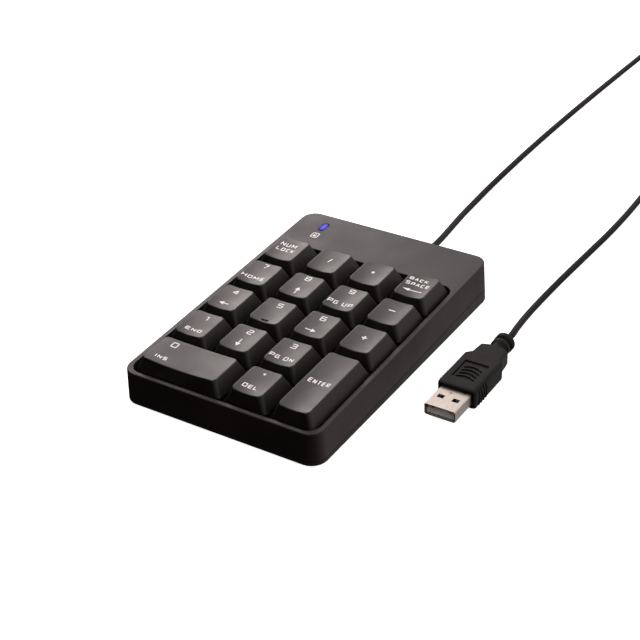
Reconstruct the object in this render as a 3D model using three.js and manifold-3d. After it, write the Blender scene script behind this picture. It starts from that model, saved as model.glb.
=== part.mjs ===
// Wired numeric keypad: a wedge-shaped two-part case with eighteen sliding keycaps over rubber domes,
// a contact membrane stack on a steel plate, a small controller board, and a cable that ends in a USB plug.
// Millimetres, +Z up, +Y towards the back of the case. The origin is on the table, under the case's centre.
import * as THREE from "three";
import { mergeVertices } from "three/addons/utils/BufferGeometryUtils.js";
import Module from "manifold-3d";

const wasm = await Module();
wasm.setup();

// ---- Case ----
const CASE_WIDTH = 81.4; // at the rim
const CASE_DEPTH = 123.14; // at the rim
const CASE_CORNER = 5.5; // corner radius in plan
const CASE_DRAFT = 0.58; // how far the walls spread from the rim to the bottom edge, each side
const BOTTOM_Z = 0.6; // underside of the bottom cover, above the table
const RIM_Z = 15.265; // height of the sloping rim plane at y = 0
const SLOPE = THREE.MathUtils.degToRad(1.678); // the rim plane rises towards the back
const EDGE_ROUND = 0.45; // rounding of the rim's outer edge
const FOOT_ROUND = 0.5; // rounding of the bottom edge
const ROUND_MIDDLE = 0.29; // how far from the corner a rounding passes, as a share of its radius
const WALL = 1.7; // side walls
const FLOOR = 1.6; // floor of the bottom cover
const DECK = 2.1; // thickness of the top face
const PARTING_DROP = 11.2; // rim plane to the joint between the covers
const PARTING_GAP = 0.3;

// ---- Keys ----
const PITCH = 19.05;
const GRID_Y = -10.94; // centre of the key grid
const KEY_TOP = 4.32; // keycap corners above the rim plane
const KEY_BASE = -1.5; // keycap skirt's lower edge, from the rim plane
const CAP_TOP = [12.2, 14.2];
const CAP_BASE = [17.6, 18.0];
const CAP_TOP_CORNER = 1.6;
const CAP_BASE_CORNER = 1.6;
const CAP_WALL = 1.2;
const DISH = 0.6; // depth of the hollow across the top face
const TRAVEL = 3.0; // key travel
const STEM = 5.6;
const STEM_END = -5.4;
const WELL = [77.4, 97.0]; // opening around the keys
const WELL_SHIFT = -0.3; // the opening's centre, in front of the key grid's
const WELL_CORNER = 4.5;

// ---- Key module, all measured from the rim plane ----
const PLATE = [76.4, 95.2];
const PLATE_TOP = -4.8;
const PLATE_THICK = 1.0;
const CHIMNEY_TOP = -1.7;
const CHIMNEY_OUTER = 8.4;
const CHIMNEY_INNER = 6.2;
const DOME_SHEET_TOP = -8.8;
const DOME_SHEET_THICK = 0.4;
const DOME_TOP = -5.6;
const DOME_RADIUS = 4.2;
const MEMBRANE_THICK = 0.15;
const LAYER_GAP = 0.1;
const STEEL_THICK = 0.5;

// ---- Fasteners and feet ----
const CASE_SCREW = [35.3, 56.5];
const FOOT_PLACE = [30, 48];
const FOOT_RADIUS = 4.5;

// ---- Cable ----
const CORD_RADIUS = 1.3;
const CORD_REST = CORD_RADIUS + 0.05; // centre of the cable where it lies on the table
const CORD_SIDES = 8;
const TOUCH = 0.3; // gap between pieces that touch
const EXIT = [8.5, CASE_DEPTH / 2, 6.4]; // where the cable leaves the case
const COIL_CENTRE = [24, 338];
const COIL_INNER = 9.2;
const COIL_OUTER = 19.8;
const COIL_BOTTOM = 0.6;
const COIL_TOP = 7.8;

// ---- Plug ----
const PLUG_X = 63.0;
const PLUG_Z = 4.0;
const PLUG_FRONT = -6.9; // front face of the moulded grip
const GRIP_HALF_HEIGHT = 4.0;
const GRIP_SECTIONS = [ // half width, half height, corner radius and distance behind the front
  [7.0, 3.5, 0.9, 0],
  [7.5, GRIP_HALF_HEIGHT, 1.2, 0.8],
  [7.5, GRIP_HALF_HEIGHT, 1.2, 20.5],
  [6.0, 3.6, 1.4, 22.8],
  [5.6, 3.5, 1.6, 28.6],
  [3.2, 3.1, 2.0, 30.1],
];
const RELIEF_END = 40.0; // the strain relief ends this far behind the front
const RELIEF_PROFILE = [ // radius and distance behind the front: a neck, two rings and a short cone
  [3.0, 29.5],
  [3.0, 32.6],
  [3.65, 33.0],
  [3.65, 34.6],
  [2.6, 35.0],
  [2.6, 35.7],
  [3.85, 36.1],
  [3.85, 38.1],
  [2.9, 39.2],
  [1.95, RELIEF_END],
];
const PANEL = { size: [9.4, 11.0], start: 5.0, depth: 0.5 }; // the hollow in the grip's top face
const SHELL = [12.0, 11.8, 4.5]; // width, length that stands out, height
const SHELL_WALL = 0.32;
const SHELL_SUNK = 4.0;
const LATCH = { size: [2.5, 2.0], start: 5.16, offset: 2.9 }; // the shell's square windows
const DIMPLE = { place: [-0.6, 9.2], radius: 0.5, depth: 0.2 };
const TONGUE_HEIGHT = 1.7;
const CONTACTS = [-3.5, -1.0, 1.0, 3.5];

const EPS = 0.02;

// ---- Materials ----
function plastic(color, roughness) {
  return new THREE.MeshStandardMaterial({ color, roughness, metalness: 0 });
}

function metal(color, roughness) {
  return new THREE.MeshStandardMaterial({ color, roughness, metalness: 1 });
}

const MATERIALS = {
  case: () => plastic(0x3a3536, 0.55),
  base: () => plastic(0x2c282b, 0.6),
  cap: () => plastic(0x332f2f, 0.5),
  guide: () => plastic(0x151516, 0.6),
  rubber: () => plastic(0x1b1b1c, 0.85),
  silicone: () => plastic(0xb9bab6, 0.7),
  film: () => plastic(0xc8d2cc, 0.35),
  board: () => plastic(0x1f5a35, 0.5),
  chip: () => plastic(0x0d0d0e, 0.4),
  lens: () => plastic(0x2440ff, 0.25),
  lamp: () => plastic(0xdfe6ff, 0.3),
  header: () => plastic(0xe6e2d6, 0.5),
  cord: () => plastic(0x0c0c0d, 0.35),
  grip: () => plastic(0x151415, 0.45),
  tongue: () => plastic(0xd9d7d2, 0.5),
  steel: () => metal(0xb8b8b8, 0.4),
  screw: () => metal(0x8a8a88, 0.35),
  nickel: () => metal(0xd8cfc4, 0.25),
  gold: () => metal(0xd9b25a, 0.3),
};

// ---- Solids ----
function toSolid(geometry) {
  const bare = new THREE.BufferGeometry();
  bare.setAttribute("position", geometry.getAttribute("position"));
  if (geometry.index) bare.setIndex(geometry.index);
  const merged = mergeVertices(bare, 1e-4);
  const mesh = new wasm.Mesh({
    numProp: 3,
    vertProperties: new Float32Array(merged.attributes.position.array),
    triVerts: new Uint32Array(merged.index.array),
  });
  return new wasm.Manifold(mesh);
}

function toGeometry(solid) {
  const made = solid.getMesh();
  const geometry = new THREE.BufferGeometry();
  geometry.setAttribute("position", new THREE.BufferAttribute(new Float32Array(made.vertProperties), 3));
  geometry.setIndex(new THREE.BufferAttribute(new Uint32Array(made.triVerts), 1));
  const flat = geometry.toNonIndexed();
  flat.computeVertexNormals();
  return flat;
}

function joinAll(solids) {
  return solids.reduce((sum, solid) => sum.add(solid));
}

function cutAll(solid, cutters) {
  return cutters.reduce((left, cutter) => left.subtract(cutter), solid);
}

// A box given by its lowest and highest corner.
function box(low, high) {
  const size = high.map((value, i) => value - low[i]);
  const geometry = new THREE.BoxGeometry(...size);
  geometry.translate(low[0] + size[0] / 2, low[1] + size[1] / 2, low[2] + size[2] / 2);
  return toSolid(geometry);
}

// An upright cylinder, or cone, between two heights.
function post(x, y, low, high, radius, topRadius = radius, sides = 16) {
  const geometry = new THREE.CylinderGeometry(topRadius, radius, high - low, sides);
  geometry.rotateX(Math.PI / 2);
  geometry.translate(x, y, (low + high) / 2);
  return toSolid(geometry);
}

// A round rod between two points.
function rod(from, to, radius, sides = 8) {
  const start = new THREE.Vector3(...from);
  const along = new THREE.Vector3(...to).sub(start);
  const geometry = new THREE.CylinderGeometry(radius, radius, along.length(), sides);
  const up = new THREE.Vector3(0, 1, 0);
  geometry.applyQuaternion(new THREE.Quaternion().setFromUnitVectors(up, along.clone().normalize()));
  const middle = start.addScaledVector(along, 0.5);
  geometry.translate(middle.x, middle.y, middle.z);
  return toSolid(geometry);
}

// Points of a rounded rectangle round the origin, counter-clockwise.
function roundedOutline(width, depth, radius, steps) {
  const points = [];
  const centres = [
    [width / 2 - radius, depth / 2 - radius],
    [-width / 2 + radius, depth / 2 - radius],
    [-width / 2 + radius, -depth / 2 + radius],
    [width / 2 - radius, -depth / 2 + radius],
  ];
  centres.forEach(([x, y], corner) => {
    for (let i = 0; i <= steps; i += 1) {
      const angle = (corner + i / steps) * (Math.PI / 2);
      points.push([x + radius * Math.cos(angle), y + radius * Math.sin(angle)]);
    }
  });
  return points;
}

// A closed solid through rings of points, lowest ring first, all counter-clockwise seen from the last ring.
function loft(rings) {
  const count = rings[0].length;
  const positions = rings.flat(2);
  const index = [];
  for (let r = 0; r < rings.length - 1; r += 1) {
    for (let i = 0; i < count; i += 1) {
      const a = r * count + i;
      const b = r * count + ((i + 1) % count);
      index.push(a, b, b + count, a, b + count, a + count);
    }
  }
  const last = (rings.length - 1) * count;
  for (let i = 1; i < count - 1; i += 1) {
    index.push(0, i + 1, i);
    index.push(last, last + i, last + i + 1);
  }
  const geometry = new THREE.BufferGeometry();
  geometry.setAttribute("position", new THREE.Float32BufferAttribute(positions, 3));
  geometry.setIndex(index);
  return toSolid(geometry);
}

// An upright block with a rounded-rectangle plan.
function roundedBlock(width, depth, radius, low, high, steps = 4) {
  const ring = (z) => roundedOutline(width, depth, radius, steps).map(([x, y]) => [x, y, z]);
  return loft([ring(low), ring(high)]);
}

function flatten(geometrySolid, matrix) {
  return geometrySolid.transform(matrix.elements);
}

// ---- The sloping frame: its XY plane is the rim plane, its origin the centre of the key grid ----
const gridRimZ = RIM_Z + Math.tan(SLOPE) * GRID_Y;
const slopeMatrix = new THREE.Matrix4().makeRotationX(SLOPE).setPosition(0, GRID_Y, gridRimZ);

function sloped(solid) {
  return flatten(solid, slopeMatrix);
}

function rimHeight(y) {
  return RIM_Z + Math.tan(SLOPE) * y;
}

const root = new THREE.Group();
const slopedGroup = new THREE.Group();
slopedGroup.applyMatrix4(slopeMatrix);
root.add(slopedGroup);

function addPiece(name, solid, material, parent = root) {
  const mesh = new THREE.Mesh(toGeometry(solid), MATERIALS[material]());
  mesh.name = name;
  parent.add(mesh);
}

// ---- Key layout: column and row of the key's centre, and how many pitches it spans ----
const KEYS = [
  { name: "num_lock", column: 0, row: 0 },
  { name: "divide", column: 1, row: 0 },
  { name: "multiply", column: 2, row: 0 },
  { name: "backspace", column: 3, row: 0 },
  { name: "7", column: 0, row: 1 },
  { name: "8", column: 1, row: 1 },
  { name: "9", column: 2, row: 1 },
  { name: "minus", column: 3, row: 1 },
  { name: "4", column: 0, row: 2 },
  { name: "5", column: 1, row: 2 },
  { name: "6", column: 2, row: 2 },
  { name: "plus", column: 3, row: 2 },
  { name: "1", column: 0, row: 3 },
  { name: "2", column: 1, row: 3 },
  { name: "3", column: 2, row: 3 },
  { name: "0", column: 0.5, row: 4, wide: 2 },
  { name: "decimal", column: 2, row: 4 },
  { name: "enter", column: 3, row: 3.5, deep: 2 },
];

function keyPlace(key) {
  return [(key.column - 1.5) * PITCH, (2 - key.row) * PITCH];
}

function keyExtra(key) {
  return [((key.wide ?? 1) - 1) * PITCH, ((key.deep ?? 1) - 1) * PITCH];
}

// ---- Stabiliser wire under each long key, in the key's own frame with the wire along X ----
const WIRE_RADIUS = 0.5;
const WIRE_HALF = 12.5; // half the distance between its arms
const ARM = 6.0;
const ARM_LIFT = TRAVEL / 2;
const PIVOT_W = -1.9; // height of the pivot line
const PIVOT_V = -4.95; // the pivot line is in front of the key's centre
const ARM_REACH = Math.sqrt(ARM ** 2 - ARM_LIFT ** 2);
const HOOK = 1.8; // length of the hooked ends
const SADDLE_U = 8.0;
const SADDLE = 1.6;
const SADDLE_DEPTH = 2.3;
const WIRE_PLAY = 0.2;

function stabiliserWire() {
  const tip = [PIVOT_V + ARM_REACH, PIVOT_W + ARM_LIFT];
  const solids = [rod([-WIRE_HALF, PIVOT_V, PIVOT_W], [WIRE_HALF, PIVOT_V, PIVOT_W], WIRE_RADIUS)];
  for (const side of [-1, 1]) {
    const u = side * WIRE_HALF;
    const ball = new THREE.SphereGeometry(WIRE_RADIUS, 8, 6);
    solids.push(rod([u, PIVOT_V, PIVOT_W], [u, ...tip], WIRE_RADIUS));
    solids.push(rod([u, ...tip], [u - side * HOOK, ...tip], WIRE_RADIUS));
    solids.push(toSolid(ball).translate([u, PIVOT_V, PIVOT_W]));
    solids.push(toSolid(ball).translate([u, ...tip]));
  }
  return joinAll(solids);
}

// A hanging lug under the cap, with a slot that the wire's hooked end slides in.
function capLug(side) {
  const tipV = PIVOT_V + ARM_REACH;
  const tipW = PIVOT_W + ARM_LIFT;
  const outer = WIRE_HALF - WIRE_RADIUS - WIRE_PLAY;
  const inner = outer - 1.2;
  const us = [side * inner, side * outer].sort((a, b) => a - b);
  const slot = WIRE_RADIUS + WIRE_PLAY;
  const lugTop = KEY_TOP - DISH - CAP_WALL + 0.3;
  const lug = box([us[0], tipV - 1.7, tipW - slot - 0.5], [us[1], tipV + 2.0, lugTop]);
  const gap = box([us[0] - 1, tipV - 3, tipW - slot], [us[1] + 1, tipV + slot + 0.2, tipW + slot]);
  return lug.subtract(gap);
}

// An open saddle on the guide plate that the wire's pivot line turns in.
function plateSaddle(side) {
  const us = [side * SADDLE_U - SADDLE / 2, side * SADDLE_U + SADDLE / 2];
  const notch = WIRE_RADIUS + WIRE_PLAY;
  const half = SADDLE_DEPTH / 2;
  const block = box([us[0], PIVOT_V - half, PLATE_TOP - 0.2], [us[1], PIVOT_V + half, PIVOT_W + 0.1]);
  const slot = box([us[0] - 1, PIVOT_V - notch, PIVOT_W - notch], [us[1] + 1, PIVOT_V + notch, PIVOT_W + 2]);
  return block.subtract(slot);
}

const quarterTurn = new THREE.Matrix4().makeRotationZ(Math.PI / 2);

function alongKey(key, solid) {
  return key.deep ? flatten(solid, quarterTurn) : solid;
}

// ---- Keycaps ----
function capRing(key, t, inset, steps) {
  const extra = keyExtra(key);
  const width = THREE.MathUtils.lerp(CAP_BASE[0], CAP_TOP[0], t) + extra[0] - 2 * inset;
  const depth = THREE.MathUtils.lerp(CAP_BASE[1], CAP_TOP[1], t) + extra[1] - 2 * inset;
  const radius = THREE.MathUtils.lerp(CAP_BASE_CORNER, CAP_TOP_CORNER, t);
  const z = THREE.MathUtils.lerp(KEY_BASE, KEY_TOP, t);
  return roundedOutline(width, depth, Math.max(radius - inset, 0.3), steps).map(([x, y]) => [x, y, z]);
}

// The block above the dished top face.
function dishCutter(key) {
  const extra = keyExtra(key);
  const half = (CAP_TOP[0] + extra[0]) / 2;
  const reach = CAP_BASE[1] + extra[1];
  const steps = 6;
  const outline = new THREE.Shape();
  outline.moveTo(-half - 4, KEY_TOP + 3);
  outline.lineTo(-half - 4, KEY_TOP);
  for (let i = 0; i <= steps; i += 1) {
    const s = -1 + (2 * i) / steps;
    outline.lineTo(s * half, KEY_TOP - DISH * (1 - s * s));
  }
  outline.lineTo(half + 4, KEY_TOP);
  outline.lineTo(half + 4, KEY_TOP + 3);
  outline.closePath();
  const geometry = new THREE.ExtrudeGeometry(outline, { depth: reach, bevelEnabled: false });
  geometry.translate(0, 0, -reach / 2);
  geometry.rotateX(Math.PI / 2);
  return toSolid(geometry);
}

function keycap(key) {
  const cornerSteps = 3;
  const outside = loft([capRing(key, 0, 0, cornerSteps), capRing(key, 1, 0, cornerSteps)]);
  const roof = KEY_TOP - DISH - CAP_WALL + 0.2;
  const roofT = (roof - KEY_BASE) / (KEY_TOP - KEY_BASE);
  const hollowBase = capRing(key, 0, CAP_WALL, 1).map(([x, y]) => [x, y, KEY_BASE - 0.5]);
  const hollow = loft([hollowBase, capRing(key, roofT, CAP_WALL, 1)]);
  const stem = box([-STEM / 2, -STEM / 2, STEM_END], [STEM / 2, STEM / 2, roof + 0.3]);
  let cap = outside.subtract(dishCutter(key)).subtract(hollow).add(stem);
  if (key.wide || key.deep) {
    cap = joinAll([cap, alongKey(key, capLug(-1)), alongKey(key, capLug(1))]);
  }
  return cap;
}

for (const key of KEYS) {
  const [u, v] = keyPlace(key);
  const cap = new THREE.Group();
  cap.position.set(u, v, 0);
  slopedGroup.add(cap);
  addPiece("keycap_" + key.name, keycap(key), "cap", cap);
  if (key.wide || key.deep) {
    addPiece("stabiliser_wire_" + key.name, alongKey(key, stabiliserWire()), "steel", cap);
  }
}

// ---- Key module: guide plate, dome sheet, membranes and steel plate ----
const PLATE_SCREWS = [
  [-PITCH, 1.5 * PITCH],
  [PITCH, 1.5 * PITCH],
  [-PITCH, -0.5 * PITCH],
  [0, -0.5 * PITCH],
];
const BOSS_NOTCH = [32.6, -42.6]; // the front corners make room for the case's bosses
const NOTCH_DEEP = [31.8, -42.2];

function frontNotches([u, v], low, high) {
  return [-1, 1].map((side) => {
    const us = [side * u, side * 45].sort((a, b) => a - b);
    return box([us[0], -55, low], [us[1], v, high]);
  });
}

function screwHoles(radius, low, high) {
  return PLATE_SCREWS.map(([u, v]) => post(u, v, low, high, radius, radius, 10));
}

function guidePlate() {
  const bottom = PLATE_TOP - PLATE_THICK;
  const skirtEnd = DOME_SHEET_TOP + LAYER_GAP;
  const skirt = 1.2;
  const low = DOME_SHEET_TOP - 1;
  const high = PLATE_TOP + 1;
  let plate = roundedBlock(PLATE[0], PLATE[1], 3.5, skirtEnd, PLATE_TOP);
  plate = plate.subtract(
    roundedBlock(PLATE[0] - 2 * skirt, PLATE[1] - 2 * skirt, 2.3, skirtEnd - 1, bottom),
  );
  plate = cutAll(plate, frontNotches(BOSS_NOTCH, low, high));
  const chimneys = KEYS.map((key) => {
    const [u, v] = keyPlace(key);
    const half = CHIMNEY_OUTER / 2;
    return box([u - half, v - half, bottom + EPS], [u + half, v + half, CHIMNEY_TOP]);
  });
  const bores = KEYS.map((key) => {
    const [u, v] = keyPlace(key);
    const half = CHIMNEY_INNER / 2;
    return box([u - half, v - half, bottom - 0.5], [u + half, v + half, CHIMNEY_TOP + 0.5]);
  });
  const bosses = PLATE_SCREWS.map(([u, v]) => post(u, v, skirtEnd, bottom + 0.3, 2.0, 2.0, 12));
  const saddles = KEYS.filter((key) => key.wide || key.deep).flatMap((key) => {
    const [u, v] = keyPlace(key);
    return [-1, 1].map((side) => alongKey(key, plateSaddle(side)).translate([u, v, 0]));
  });
  plate = joinAll([plate, ...chimneys, ...bosses, ...saddles]);
  return cutAll(plate, [...bores, ...screwHoles(0.8, low, bottom - 0.4)]);
}

function dome(u, v) {
  const sheetBottom = DOME_SHEET_TOP - DOME_SHEET_THICK;
  const profile = [
    [0, DOME_TOP - 0.7],
    [1.7, DOME_TOP - 0.7],
    [DOME_RADIUS - 0.7, DOME_SHEET_TOP - 0.1],
    [DOME_RADIUS - 0.7, sheetBottom],
    [DOME_RADIUS + 0.1, sheetBottom],
    [DOME_RADIUS, DOME_SHEET_TOP],
    [2.4, DOME_TOP],
    [0, DOME_TOP],
  ];
  const points = profile.map(([r, z]) => new THREE.Vector2(r, z));
  const geometry = new THREE.LatheGeometry(points, 10);
  geometry.rotateX(Math.PI / 2);
  return toSolid(geometry).translate([u, v, 0]);
}

function moduleSheet(high, thick, notch) {
  const low = high - thick;
  const sheet = roundedBlock(PLATE[0], PLATE[1], 3.5, low, high, 3);
  const holes = screwHoles(1.6, low - 1, high + 1);
  return cutAll(sheet, [...frontNotches(notch, low - 1, high + 1), ...holes]);
}

function domeSheet() {
  const low = DOME_SHEET_TOP - DOME_SHEET_THICK;
  const sheet = moduleSheet(DOME_SHEET_TOP, DOME_SHEET_THICK, BOSS_NOTCH);
  const holes = KEYS.map((key) =>
    post(...keyPlace(key), low - 1, DOME_SHEET_TOP + 1, DOME_RADIUS - 0.6, DOME_RADIUS - 0.6, 10),
  );
  return joinAll([cutAll(sheet, holes), ...KEYS.map((key) => dome(...keyPlace(key)))]);
}

// A contact film with a tail that reaches under the controller board.
function membrane(high, holeRadius) {
  const low = high - MEMBRANE_THICK;
  const tail = box([-10, PLATE[1] / 2 - 2, low], [6, PLATE[1] / 2 + 6, high]);
  const film = moduleSheet(high, MEMBRANE_THICK, NOTCH_DEEP).add(tail);
  if (!holeRadius) return film;
  const holes = KEYS.map((key) => post(...keyPlace(key), low - 1, high + 1, holeRadius, holeRadius, 8));
  return cutAll(film, holes);
}

const layer = MEMBRANE_THICK + LAYER_GAP;
const membraneTop = DOME_SHEET_TOP - DOME_SHEET_THICK - LAYER_GAP;
const steelTop = membraneTop - 3 * layer;

addPiece("key_guide_plate", guidePlate(), "guide", slopedGroup);
addPiece("dome_sheet", domeSheet(), "silicone", slopedGroup);
addPiece("upper_membrane", membrane(membraneTop, 0), "film", slopedGroup);
addPiece("spacer_membrane", membrane(membraneTop - layer, 2.5), "film", slopedGroup);
addPiece("lower_membrane", membrane(membraneTop - 2 * layer, 0), "film", slopedGroup);

function steelPlate() {
  const low = steelTop - STEEL_THICK;
  const sheet = roundedBlock(PLATE[0], PLATE[1], 3.5, low, steelTop, 3);
  const holes = screwHoles(1.25, low - 1, steelTop + 1);
  return cutAll(sheet, [...frontNotches(NOTCH_DEEP, low - 1, steelTop + 1), ...holes]);
}
addPiece("steel_backing_plate", steelPlate(), "steel", slopedGroup);

// A cross-slot screw that points up, with the underside of its head at the given height.
function screw(x, y, seat, length, shank, headRadius, headHeight) {
  const head = post(x, y, seat - headHeight, seat, headRadius, headRadius, 14);
  const body = post(x, y, seat - EPS, seat + length, shank, shank * 0.6, 10);
  const slot = headRadius * 0.62;
  const cross = [
    box([x - slot, y - 0.25, seat - headHeight - 1], [x + slot, y + 0.25, seat - headHeight * 0.45]),
    box([x - 0.25, y - slot, seat - headHeight - 1], [x + 0.25, y + slot, seat - headHeight * 0.45]),
  ];
  return cutAll(head.add(body), cross);
}

PLATE_SCREWS.forEach(([u, v], i) => {
  const seat = steelTop - STEEL_THICK - LAYER_GAP;
  addPiece("plate_screw_" + (i + 1), screw(u, v, seat, 3.4, 0.7, 1.9, 0.8), "screw", slopedGroup);
});

// ---- Controller board and what it carries, under the rear deck ----
const BOARD = { u: [-32, 24], v: [51, 66.4], top: -4.0, thick: 1.2 };
const LAMP = [-28.5, 63.9];
const LENS = [2.3, 5.6];
const LENS_PLAY = 0.2;
const LENS_FLANGE = 0.6;

function controllerBoard() {
  const low = BOARD.top - BOARD.thick;
  const board = box([BOARD.u[0], BOARD.v[0], low], [BOARD.u[1], BOARD.v[1], BOARD.top]);
  const holes = [-20, 20].map((u) => post(u, 63, BOARD.top - 3, BOARD.top + 1, 1.1, 1.1, 10));
  return cutAll(board, holes);
}
addPiece("controller_board", controllerBoard(), "board", slopedGroup);

const chip = post(-6, 58.5, BOARD.top + 0.1, BOARD.top + 1.2, 4.0, 3.0, 16);
addPiece("controller_chip", chip, "chip", slopedGroup);

const lampBase = BOARD.top + 0.1;
const lamp = box([LAMP[0] - 0.8, LAMP[1] - 1.5, lampBase], [LAMP[0] + 0.8, LAMP[1] + 1.5, lampBase + 1.3]);
addPiece("num_lock_lamp", lamp, "lamp", slopedGroup);

// A round-ended block over the lamp, larger than the window by the given margin.
function lampBlock(margin, low, high) {
  const size = LENS.map((value) => value + 2 * margin);
  return roundedBlock(size[0], size[1], size[0] / 2 - 0.05, low, high, 4).translate([...LAMP, 0]);
}

function lampLens() {
  const seat = -DECK - 0.1;
  return lampBlock(0, seat, 0.15).add(lampBlock(LENS_FLANGE, seat - 0.3, seat + EPS));
}
addPiece("lamp_lens", lampLens(), "lens", slopedGroup);

const HEADER = { u: [4.5, 12.5], v: [54, 58], low: -8.6, high: -5.3 };
const header = box([HEADER.u[0], HEADER.v[0], HEADER.low], [HEADER.u[1], HEADER.v[1], HEADER.high]);
addPiece("cable_header", header, "header", slopedGroup);

// ---- Case covers ----
function caseRing(t, inset) {
  const spread = CASE_DRAFT * (1 - t);
  const width = CASE_WIDTH + 2 * spread - 2 * inset;
  const depth = CASE_DEPTH + 2 * spread - 2 * inset;
  return roundedOutline(width, depth, CASE_CORNER + spread - inset, 6);
}

const flatRing = (ring, z) => ring.map(([x, y]) => [x, y, z]);
const rimRing = (ring, drop) => ring.map(([x, y]) => [x, y, rimHeight(y) - drop]);

function caseBlock() {
  return loft([
    flatRing(caseRing(0, FOOT_ROUND), BOTTOM_Z),
    flatRing(caseRing(0, ROUND_MIDDLE * FOOT_ROUND), BOTTOM_Z + ROUND_MIDDLE * FOOT_ROUND),
    flatRing(caseRing(0.05, 0), BOTTOM_Z + FOOT_ROUND),
    rimRing(caseRing(1, 0), EDGE_ROUND),
    rimRing(caseRing(1, ROUND_MIDDLE * EDGE_ROUND), ROUND_MIDDLE * EDGE_ROUND),
    rimRing(caseRing(1, EDGE_ROUND), 0),
  ]);
}

// The space inside the walls, from a level floor up to the underside of the deck.
function caseRoom(floorZ) {
  return loft([flatRing(caseRing(0.05, WALL), floorZ), rimRing(caseRing(0.9, WALL), DECK)]);
}

// The floor inside the walls: towards the front it stands inside the top cover's skirt.
function innerFloor() {
  const outline = caseRing(0.1, WALL + PARTING_GAP);
  return loft([flatRing(outline, BOTTOM_Z + 0.4), flatRing(outline, BOTTOM_Z + FLOOR)]);
}

// Everything above, or below, a plane parallel to the rim.
function slopedHalf(from, to) {
  return sloped(box([-60, -80, from], [60, 100, to]));
}

const GROMMET_HOLE = 2.8;
const lengthways = new THREE.Matrix4().makeRotationX(-Math.PI / 2);

// A solid of revolution about a line along Y, from its radii at increasing Y.
function turnedAlongY(profile, x, z, sides) {
  const points = [[0, profile[0][1]], ...profile, [0, profile[profile.length - 1][1]]];
  const geometry = new THREE.LatheGeometry(points.map(([r, y]) => new THREE.Vector2(r, y)), sides);
  return toSolid(geometry).translate([x, 0, z]);
}

const exitProfile = [
  [GROMMET_HOLE, EXIT[1] - 4],
  [GROMMET_HOLE, EXIT[1] + 4],
];
const exitHole = turnedAlongY(exitProfile, EXIT[0], EXIT[2], 20);

function bossAt({ side, end }) {
  return [side * CASE_SCREW[0], end * CASE_SCREW[1]];
}

function footAt({ side, end }) {
  return [side * FOOT_PLACE[0], end * FOOT_PLACE[1]];
}

const CORNERS = [
  { name: "front_left", side: -1, end: -1 },
  { name: "front_right", side: 1, end: -1 },
  { name: "rear_left", side: -1, end: 1 },
  { name: "rear_right", side: 1, end: 1 },
];

const BASE_BOSS_TOP = 3.7;
const SCREW_SEAT = 2.3;

function topBoss(corner) {
  const { side, end } = corner;
  const [x, y] = bossAt(corner);
  const high = end < 0 ? rimHeight(y) - 5.2 : rimHeight(y) - DECK + 0.3;
  const boss = post(x, y, BASE_BOSS_TOP + TOUCH, high, 2.4, 2.4, 14);
  const ends = [CASE_SCREW[0] + 1.5, CASE_WIDTH / 2 - WALL + 0.5];
  const webs = ends.map((reach) => side * reach).sort((a, b) => a - b);
  return boss.add(box([webs[0], y - 0.7, 6.5], [webs[1], y + 0.7, high]));
}

function topCover() {
  const wellBlock = roundedBlock(WELL[0], WELL[1], WELL_CORNER, -20, 5, 5);
  const well = sloped(wellBlock.translate([0, WELL_SHIFT, 0]));
  const wellBack = WELL[1] / 2 + WELL_SHIFT;
  const backWall = sloped(box([-38.4, wellBack, -4.6], [38.4, wellBack + 1.2, -DECK + 0.2]));
  const lampSlot = sloped(lampBlock(LENS_PLAY, -5, 3));
  let cover = caseBlock().intersect(slopedHalf(-PARTING_DROP, 10));
  cover = cutAll(cover, [caseRoom(0), well, exitHole]);
  cover = joinAll([cover, backWall, ...CORNERS.map(topBoss)]);
  const pilots = CORNERS.map((corner) => post(...bossAt(corner), 2, 8.2, 0.95, 0.95, 10));
  return cutAll(cover, [lampSlot, ...pilots]);
}
addPiece("top_cover", topCover(), "case");

function bottomCover() {
  let cover = caseBlock().intersect(slopedHalf(-30, -PARTING_DROP - PARTING_GAP));
  const floor = BOTTOM_Z + FLOOR;
  cover = cutAll(cover, [caseRoom(floor), exitHole]).add(innerFloor());
  const sunk = floor - 0.3;
  const bosses = CORNERS.map((corner) => post(...bossAt(corner), sunk, BASE_BOSS_TOP, 3.1, 3.1, 14));
  const boardPosts = [-20, 20].map((x) => post(x, 51.9, sunk, rimHeight(51.9) - 5.6, 1.9, 1.9, 12));
  const ribs = [-24, 0, 24].map((x) => box([x - 0.6, 38, sunk], [x + 0.6, 41.5, floor + 1.2]));
  cover = joinAll([cover, ...bosses, ...boardPosts, ...ribs]);
  const counterbores = CORNERS.map((corner) => post(...bossAt(corner), 0, SCREW_SEAT, 2.6, 2.6, 16));
  const holes = CORNERS.map((corner) => post(...bossAt(corner), 0, 6, 1.3, 1.3, 10));
  const bed = FOOT_RADIUS + TOUCH;
  const footBeds = CORNERS.map((corner) => post(...footAt(corner), 0, BOTTOM_Z + 0.5, bed, bed, 20));
  return cutAll(cover, [...counterbores, ...holes, ...footBeds]);
}
addPiece("bottom_cover", bottomCover(), "base");

for (const corner of CORNERS) {
  const fastener = screw(...bossAt(corner), SCREW_SEAT - 0.05, 5.2, 0.85, 2.3, 1.1);
  addPiece("case_screw_" + corner.name, fastener, "screw");
  const foot = post(...footAt(corner), 0, BOTTOM_Z + 0.45, FOOT_RADIUS - 0.2, FOOT_RADIUS, 20);
  addPiece("rubber_foot_" + corner.name, foot, "rubber");
}

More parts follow.
